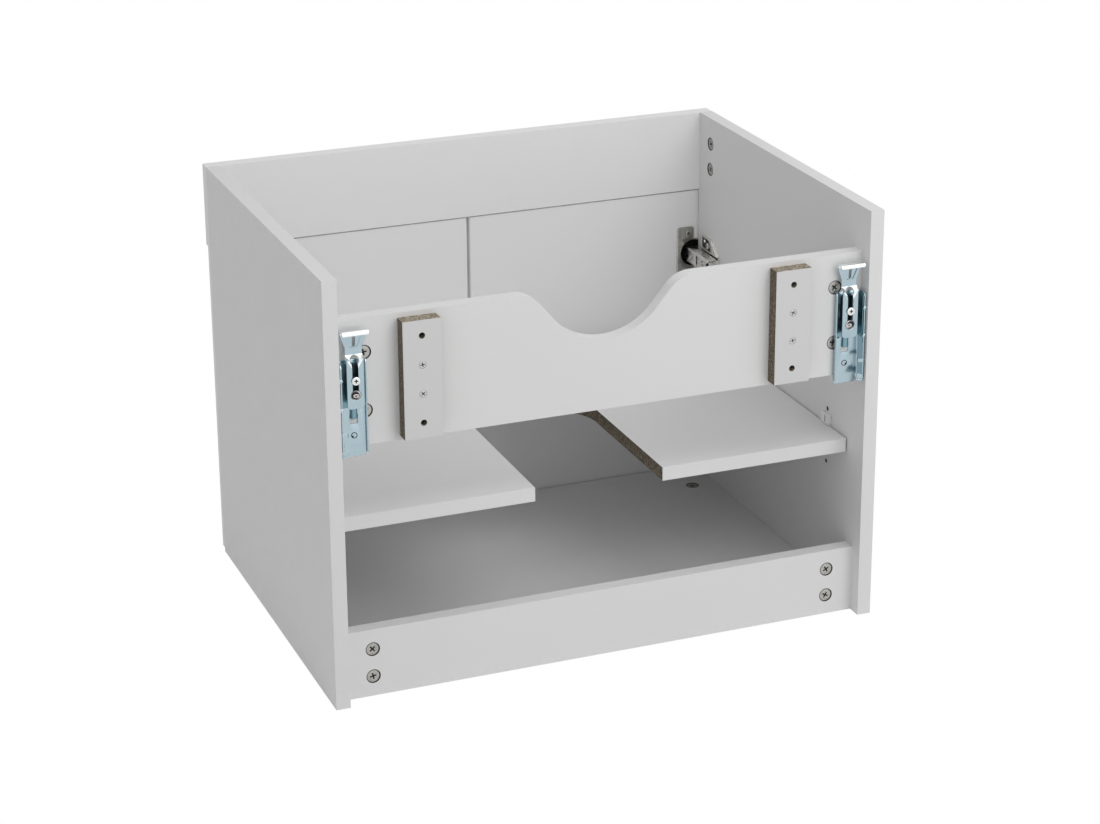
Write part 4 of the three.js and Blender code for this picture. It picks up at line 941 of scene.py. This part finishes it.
def make_spacer_screws(look):
    for hand, turns in SPACER_SCREW_TURNS.items():
        for level, turn in turns.items():
            name = f"{hand}_{level}_spacer_screw"
            at = Packed(name)
            head = screw_head(7.4, 1.0, 5.0, 0.95, turn=turn)
            rim = painted(flat_sheet([circle(0, 0, 4.3, 48), circle(0, 0, 3.75, 48)], 0.5, 0.1), THIRD)
            shank = lathe([(0, -SPACER_SCREW_LENGTH), (1.2, -24.0), (2.0, -20.0), (2.0, -2.6), (3.5, -0.6),
                           (0, -0.6)], 24)
            screw = merged(head, shank, moved(rim, z=-0.22))
            add_piece(f"{name}_head", rear_facing(screw, at.middle[0], BLOCK_REAR_Y + 0.1, at.middle[2]),
                      [look["pale_screw"], look["recess"], look["cam"]], instead_of=name)


# ---------------- hinges
PIVOT = (309.0, -225.5)
CUP_X = 295.5
CUP_RIM = 18.2
CUP_MOUTH = 16.6
WING_X = (273.7, 296.4)
WING_HALF = 34.0
WING_CORNER = 4.0
PAD_SPACING = 25.5
ARM_X = 285.0
ARM_EDGE_X = 297.6
ARM_HALF = 9.4
ARM_SHEET = 1.5
NECK_HALF = (8.6, 4.5)  # half-widths at the channel and at the pin
PLATE_HALF_HEIGHT = 27.5
PLATE_TAIL_HALF = 12.0


def behind(setback):
    """Y at a distance behind the front edges of the sides."""
    return SIDE_FRONT_Y + setback


def wing_outline(z):
    """A plate with round corners, whose outer side swells round the cup."""
    reach = math.asin((WING_X[1] - CUP_X) / CUP_RIM)
    swell = arc(CUP_X, z, CUP_RIM, reach - math.pi / 2, math.pi - 2 * reach, 30)
    low, high = z - WING_HALF, z + WING_HALF
    points = [(WING_X[0], high), (WING_X[0], low), (WING_X[1], low), *swell, (WING_X[1], high)]
    return rounded(points, [WING_CORNER] * 3 + [0] * len(swell) + [WING_CORNER])


def cup_mesh(z):
    """Door half: wing with two pressed pads and screws, the bowl that the arm enters, and the hinge pin."""
    wing = flat_sheet([wing_outline(z), circle(CUP_X, z, CUP_MOUTH, 56)], 1.0, 0.3)
    bowl = lathe([(0, -12.9), (16.5, -12.9), (17.4, -12.0), (17.4, 0.4), (16.9, 0.9), (16.4, 0.4),
                  (16.0, -11.0), (14.5, -12.1), (0, -12.1)], 56)
    # A bright nickel strip along the wing's edge: a painted highlight.
    painted_edge_highlight = flat_sheet([rounded(centred(WING_X[0] + 0.8, z, 1.4, 63), 0.6)], 0.7, 0.25)
    parts = [facing(wing, "y", DOOR_INNER_Y + 0.5),
             painted(rear_facing(bowl, CUP_X, DOOR_INNER_Y, z), SECOND),
             painted(facing(painted_edge_highlight, "y", DOOR_INNER_Y + 1.2), THIRD)]
    for way in (-1, 1):
        at = z + way * PAD_SPACING
        pad = flat_sheet([rounded(rect(279.8, 294.8, at - 7.0, at + 6.5), 2.2)], 0.8, 0.3)
        head = screw_head(8.4, 1.3, 4.6, 1.2, crown=0.5, turn=20 + 40 * way)
        parts += [facing(pad, "y", DOOR_INNER_Y + 1.2), rear_facing(head, 288.6, DOOR_INNER_Y + 2.7, at)]
    pin = moved(cylinder(1.2, -15.6, 15.6, 24), *PIVOT, z)
    lever = moved(cylinder(2.6, -5.0, 5.0, 24), 288.0, -224.0, z)
    return merged(*parts, pin, painted(lever, SECOND))


def shaded_top(mesh):
    """Gives the faces that look up the third material, a painted shade, and all others the first."""
    for _ in range(THIRD + 1):
        mesh.materials.append(None)
    for face in mesh.polygons:
        face.material_index = THIRD if face.normal.z > 0.7 else 0
    return mesh


def arm_channel(z):
    """Sheet channel over the mounting plate, with a hole for each adjusting screw and a slot between them."""
    half = ARM_HALF - ARM_SHEET / 2
    web_x = ARM_X + ARM_SHEET / 2
    path = BentPath([(ARM_EDGE_X, -half), (web_x, -half), (web_x, half), (ARM_EDGE_X, half)], [1.6, 1.6])
    mid = path.length / 2
    tip, end = behind(3.0), behind(64.0)
    front, notch = tip + 9.0, end - 6.0
    outline = rounded([(front, 0), (end, 0), (end, mid - 6), (notch, mid - 4), (notch, mid + 4),
                       (end, mid + 6), (end, path.length), (front, path.length), (tip, mid + 9.0),
                       (tip, mid - 9.0)], [2, 2, 1.5, 1.5, 1.5, 1.5, 2, 2, 2, 2])
    dot = circle(behind(15.0), mid, 2.3, 28)
    slot = rounded(rect(behind(30.0), behind(33.6), mid - 6.4, mid + 6.4), 1.7)
    oval = rounded(rect(behind(44.5), behind(55.5), mid - 4.6, mid + 4.6), 4.5)
    sheet = flat_sheet([outline, dot, slot, oval], ARM_SHEET, 0.35)
    return shaded_top(bent(sheet, path, lambda y, x, rise: (x, y, z + rise)))


def arm_neck(z):
    """Cranked strip from the channel round the door's edge to the hinge pin, with the pin's eye."""
    crank = BentPath([(ARM_X + 1.2, behind(8.0)), (ARM_X + 1.2, PIVOT[1]), (PIVOT[0] - 1.5, PIVOT[1])], [4.0])
    wide, slim = NECK_HALF
    upper = [(wide, 0), (wide, 11), (slim, 17), (slim, crank.length)]
    radii = [0, 1, 1, 1]
    strip = rounded(upper + [(-v, s) for v, s in upper[::-1]], radii + radii[::-1])
    strip = flat_sheet([strip], 2.2, 0.4)
    # The whole neck has the third material: painted shade.
    neck = painted(bent(strip, crank, lambda v, x, y: (x, y, z + v)), THIRD)
    eye = lathe([(1.5, -4.4), (2.4, -4.4), (2.4, 4.4), (1.5, 4.4), (1.5, -4.4)], 28)
    return neck, moved(eye, *PIVOT, z)


def arm_mesh(z):
    """Channel, neck, a dark floor of painted shade under the channel's holes and the two adjusting screws."""
    floor = flat_sheet([rect(behind(13.0), behind(57.0), z - 7.4, z + 7.4)], 0.4, 0.1)
    parts = [arm_channel(z), *arm_neck(z), painted(facing(floor, "x", ARM_X + 2.2), SECOND)]
    for setback, diameter, turn in ((15.0, 3.8, 15), (50.0, 7.8, 70)):
        head = screw_head(diameter, 1.2, diameter * 0.62, diameter * 0.16, crown=0.3, turn=turn)
        screw = merged(head, cylinder(1.6, -14.0, -0.6, 24))
        parts.append(inward_facing(screw, ARM_X - 0.2, behind(setback), z))
    return merged(*parts)


def plate_wing(z, way, start, end):
    """One wing's raised rim, its floor, screw and dimple; way is 1 above the arm and -1 below it."""
    rim_top = PLATE_HALF_HEIGHT - 0.2
    ring = [(start + 0.2, 10.4), (end - 0.6, 10.4), (end - 0.6, PLATE_TAIL_HALF), (start + 29.3, rim_top),
            (start + 0.2, rim_top)]
    hollow = [(start + 2.0, 12.4), (start + 29.0, 12.4), (start + 18.5, 25.2), (start + 2.0, 25.2)]
    ring, hollow = [[(y, z + way * rise) for y, rise in points[::way]] for points in (ring, hollow)]
    hollow = rounded(hollow, 1.4)
    rim = facing(flat_sheet([rounded(ring, 0.6), hollow], 3.2, 0.5), "x", SIDE_INNER_X - 2.0)
    floor = facing(flat_sheet([hollow], 0.3, 0.1), "x", SIDE_INNER_X - 1.35)
    head = screw_head(8.4, 1.6, 4.8, 1.2, crown=0.5, turn=30 * way)
    head = inward_facing(head, SIDE_INNER_X - 3.4, behind(33.0), z + way * 17.4)
    dimple = lathe([(0, 0), (2.3, 0), (1.6, 1.2), (0, 1.5)], 28)
    dimple = inward_facing(dimple, SIDE_INNER_X - 1.4, behind(22.0), z + way * 20.8)
    return [rim, painted(floor, SECOND), head, dimple]


def plate_mesh(z):
    """Mounting plate: a sheet with a rimmed wing above and below the arm, and a raised base."""
    start, end = behind(15.5), behind(62.0)
    upper = [(end, PLATE_TAIL_HALF), (start + 29.5, PLATE_HALF_HEIGHT), (start, PLATE_HALF_HEIGHT)]
    whole = upper + [(y, -rise) for y, rise in reversed(upper)]
    outline = rounded([(y, z + rise) for y, rise in whole], [3, 2.5, 3, 3, 2.5, 3])
    sheet = facing(flat_sheet([outline], 1.2, 0.3), "x", SIDE_INNER_X - 0.65)
    base = flat_sheet([rounded(rect(behind(14.0), behind(60.0), z - 6.1, z + 6.1), 1.5)], 13.0, 0.6)
    wings = plate_wing(z, 1, start, end) + plate_wing(z, -1, start, end)
    return merged(sheet, *wings, facing(base, "x", SIDE_INNER_X - 6.6))


def make_hinges(hand, side, look):
    nickel, wing, recess = look["nickel"], look["nickel_painted_shade"], look["recess"]
    # The darker nickel is painted shade: on the cup's wing, pads, screws and pin, and on the arm's upward
    # faces and neck.
    for level in ("upper", "lower"):
        z = Packed(f"{hand}_{level}_hinge_cup").middle[2]
        for kind, mesh, body, metals in (("cup", cup_mesh(z), f"{hand}_door", [wing, recess, nickel]),
                                         ("arm", arm_mesh(z), "carcass", [nickel, recess, wing]),
                                         ("plate", plate_mesh(z), "carcass", [nickel, recess])):
            name = f"{hand}_{level}_hinge_{kind}"
            add_piece(f"{name}_pressing", mesh, metals, body, side, name)


# ---------------- shelf clips, pin holes and edge marks
PIN_LEVEL = SHELF_BOTTOM + 2.0
PIN_PITCH = 32.0
PIN_HOLE = (2.76, 8.8)  # radius and depth
CLIP_HALF = 10.0
CLIP_TOP = SHELF_TOP + 13.2
EDGE_MARK_AT = (-309.2, 396.4)
EDGE_MARK_HEIGHT = 0.06


def clip_mesh(y):
    """Shelf clip: web past the shelf's end, slotted nose over the shelf, ribbed foot under it and pin."""
    front, rear = y - CLIP_HALF, y + CLIP_HALF
    web = rounded(rect(front, rear, SHELF_BOTTOM - 4.6, CLIP_TOP), [1.5, 1.5, 3.5, 3.5])
    web = flat_sheet([web], 1.0, 0.25)
    nose = rounded(rect(front, rear, SHELF_TOP + 0.7, CLIP_TOP), [0.8, 0.8, 3.5, 3.5])
    slot = rounded(rect(y - 1.4, y + 1.4, SHELF_TOP + 2.0, SHELF_TOP + 10.4), 1.2)
    nose = flat_sheet([nose, slot], 2.6, 0.5)
    slot_floor = flat_sheet([rect(y - 2.0, y + 2.0, SHELF_TOP + 1.6, SHELF_TOP + 10.8)], 0.3, 0.05)
    foot = flat_sheet([rounded(rect(SIDE_INNER_X - 11.8, SIDE_INNER_X - 0.4, front, rear), 1.5)], 1.6, 0.3)
    parts = [facing(web, "x", SIDE_INNER_X - 0.6), facing(nose, "x", SIDE_INNER_X - 2.3),
             painted(facing(slot_floor, "x", SIDE_INNER_X - 1.1), SECOND), moved(foot, z=SHELF_BOTTOM - 0.9)]
    for shift in (-6.0, 6.0):
        rib = [(SIDE_INNER_X - 10.6, SHELF_BOTTOM - 1.5), (SIDE_INNER_X - 0.7, SHELF_BOTTOM - 4.4),
               (SIDE_INNER_X - 0.7, SHELF_BOTTOM - 1.5)]
        parts.append(moved(flat_sheet([rib], 1.4, 0.2), y=y + shift, turn=(90, "X")))
    pin = outward_facing(stud(2.45, 7.4, 1.9, 8.0, 28), SIDE_INNER_X - 0.6, y, PIN_LEVEL)
    return merged(*parts, pin)


def make_clips(look):
    for hand, side in HANDS.items():
        bore_shades = []
        for row in ("rear", "front"):
            name = f"{hand}_{row}_shelf_clip"
            y = Packed(name).middle[1]
            add_piece(f"{name}_body", clip_mesh(y), [look["clear"], look["recess"]],
                      side=side, instead_of=name)
            for way in (-1, 1):
                # Dark tubes in the empty pin holes above and below the clips: painted shade.
                bore_shade = cylinder(PIN_HOLE[0], 0.35, PIN_HOLE[1], 32)
                bore_shades.append(outward_facing(bore_shade, SIDE_INNER_X, y, PIN_LEVEL + way * PIN_PITCH))
        add_piece(f"{hand}_pin_bore_shades", merged(*bore_shades), [look["recess"]], side=side)


def make_edge_mark(look):
    """Three small marks on the rear edge of the left side."""
    x, z = EDGE_MARK_AT
    marks = []
    for dx, dz, radius in ((2.6, 1.8, 1.2), (-0.2, -1.6, 1.25), (-2.8, 0.8, 1.05)):
        mark = lathe([(0, 0), (radius, 0), (radius * 0.9, EDGE_MARK_HEIGHT), (0, EDGE_MARK_HEIGHT)], 16)
        marks.append(rear_facing(mark, x + dx, SIDE_REAR_Y - EDGE_MARK_HEIGHT - 0.002, z + dz))
    add_piece("left_side_edge_mark", merged(*marks), [look["bore"]])


# ---------------- all fittings
def fitting_materials():
    """The materials of the fittings, by short names."""
    zinc = (srgb(180, 197, 204), srgb(168, 188, 197), 0.22, 14.0)
    return {
        "zinc": metal_material("zinc_plating", *zinc),
        # The hook's zinc, with a painted highlight on its facets and lip.
        "hook_zinc_painted_highlight": metal_material("hook_zinc_painted_highlight", *zinc, highlight_mask=hook_highlight_mask, highlight_color=srgb(244, 248, 248)),
        "zinc_shaded": metal_material("zinc_shaded", srgb(142, 172, 182), srgb(112, 146, 158), 0.3, 20.0),
        # Dark zinc: the housing's small marks, and painted shade on the boss and block inside the carriage.
        "zinc_marks_and_shade": metal_material("dark_zinc_marks_and_shade", srgb(46, 58, 62), srgb(30, 40, 44), 0.4, 30.0),
        "bright_screw": metal_material("bright_screw", srgb(236, 238, 236), srgb(222, 224, 222), 0.3, 60.0),
        "pale_screw": metal_material("pale_screw", srgb(206, 204, 204), srgb(192, 190, 190), 0.4, 60.0),
        "cam": metal_material("cam_casting", srgb(184, 182, 178), srgb(166, 165, 160), 0.42, 80.0),
        "nickel": metal_material("nickel_pressing", srgb(230, 229, 225), srgb(214, 213, 209), 0.28, 10.0),
        # The same nickel, darkened: painted shade.
        "nickel_painted_shade": metal_material("nickel_painted_shade", srgb(172, 171, 167), srgb(152, 151, 148), 0.3, 10.0),
        # Raw chipboard darkened by painted shade, for the cam bores, their rims and the floor under the cams'
        # faces; also the colour of the edge marks.
        "bore": plastic_material("bore_raw_and_shade", srgb(44, 40, 36), srgb(24, 22, 20), 0.9),
        "clear": plastic_material("clip_clear", srgb(238, 238, 237), srgb(226, 226, 225), 0.3),
        "recess": plastic_material("recess_shade", srgb(30, 31, 31), srgb(18, 19, 19), 0.7),
    }


def make_fittings():
    look = fitting_materials()
    for hand, side in HANDS.items():
        make_housing(hand, side, look)
        make_carriage(hand, side, look)
        make_hook(hand, side, look)
        make_clamp_screw(hand, side, look)
        make_height_screw(hand, side, look)
        make_hinges(hand, side, look)
    make_cams(look)
    make_spacer_screws(look)
    make_clips(look)
    make_edge_mark(look)


# ---------------- floor, world and lamps
WORLD_STRENGTH = 0.52
FLOOR_HALF = 4.0
FLOOR_DROP = 0.0004
FLOOR_GLOW = 0.995


def camera_white(tree, plain, white, out):
    """Shows white to camera, glossy and transmission rays and the plain shader to all others."""
    path = tree.nodes.new("ShaderNodeLightPath")
    seen = path.outputs["Is Camera Ray"]
    for ray in ("Is Glossy Ray", "Is Transmission Ray"):
        either = tree.nodes.new("ShaderNodeMath")
        either.operation = "MAXIMUM"
        tree.links.new(seen, either.inputs[0])
        tree.links.new(path.outputs[ray], either.inputs[1])
        seen = either.outputs[0]
    mixer = tree.nodes.new("ShaderNodeMixShader")
    for source, target in zip((seen, plain.outputs[0], white.outputs[0]), mixer.inputs):
        tree.links.new(source, target)
    tree.links.new(mixer.outputs[0], out.inputs["Surface"])


def make_world():
    world = bpy.data.worlds.new("world")
    bpy.context.scene.world = world
    world.use_nodes = True
    tree = world.node_tree
    tree.nodes.clear()
    backgrounds = []
    for strength in (WORLD_STRENGTH, 1.0):
        background = tree.nodes.new("ShaderNodeBackground")
        background.inputs["Color"].default_value = (1.0, 1.0, 1.0, 1.0)
        background.inputs["Strength"].default_value = strength
        backgrounds.append(background)
    camera_white(tree, *backgrounds, tree.nodes.new("ShaderNodeOutputWorld"))


def make_floor():
    mesh = bpy.data.meshes.new("floor")
    corners = rect(-FLOOR_HALF, FLOOR_HALF, -FLOOR_HALF, FLOOR_HALF)
    mesh.from_pydata([(x, y, 0) for x, y in corners], [], [(0, 1, 2, 3)])
    floor = bpy.data.objects.new("floor", mesh)
    floor.location = (0.0, 0.0, -FLOOR_DROP)
    bpy.context.scene.collection.objects.link(floor)
    m = Nodes("floor_white")
    diffuse = m.add("ShaderNodeBsdfDiffuse")
    m.link(m.soft_ramp(m.noise(2.0, 2.0), gray(0.8), gray(0.82)), diffuse.inputs["Color"])
    glow = m.add("ShaderNodeEmission")
    glow.inputs["Strength"].default_value = 1.0
    shown = m.add("ShaderNodeMixShader")
    shown.inputs[0].default_value = FLOOR_GLOW
    m.link(diffuse.outputs[0], shown.inputs[1])
    m.link(glow.outputs[0], shown.inputs[2])
    camera_white(m.tree, diffuse, shown, m.out)
    mesh.materials.append(m.material)


def make_lamp(name, at, aim, size, power):
    data = bpy.data.lights.new(name, "AREA")
    data.shape = "RECTANGLE"
    data.size, data.size_y = size
    data.energy = power
    lamp = bpy.data.objects.new(name, data)
    lamp.location = at
    direction = Vector(aim) - Vector(at)
    lamp.rotation_euler = direction.to_track_quat("-Z", "Y").to_euler()
    bpy.context.scene.collection.objects.link(lamp)


def make_light():
    make_lamp("top_box", at=(-0.3, 0.8, 1.75), aim=(0.05, -0.15, 0.3), size=(1.3, 1.0), power=6.4)
    make_lamp("rear_box", at=(-0.9, 2.45, 1.7), aim=(0.0, 0.0, 0.25), size=(1.5, 1.2), power=14.2)
    make_lamp("low_box", at=(-0.9, 2.5, 0.4), aim=(0.0, 0.0, 0.05), size=(1.4, 0.5), power=2.5)


make_camera()
dress_boards()
make_fittings()
make_world()
make_floor()
make_light()
bpy.context.scene.view_settings.view_transform = "Standard"
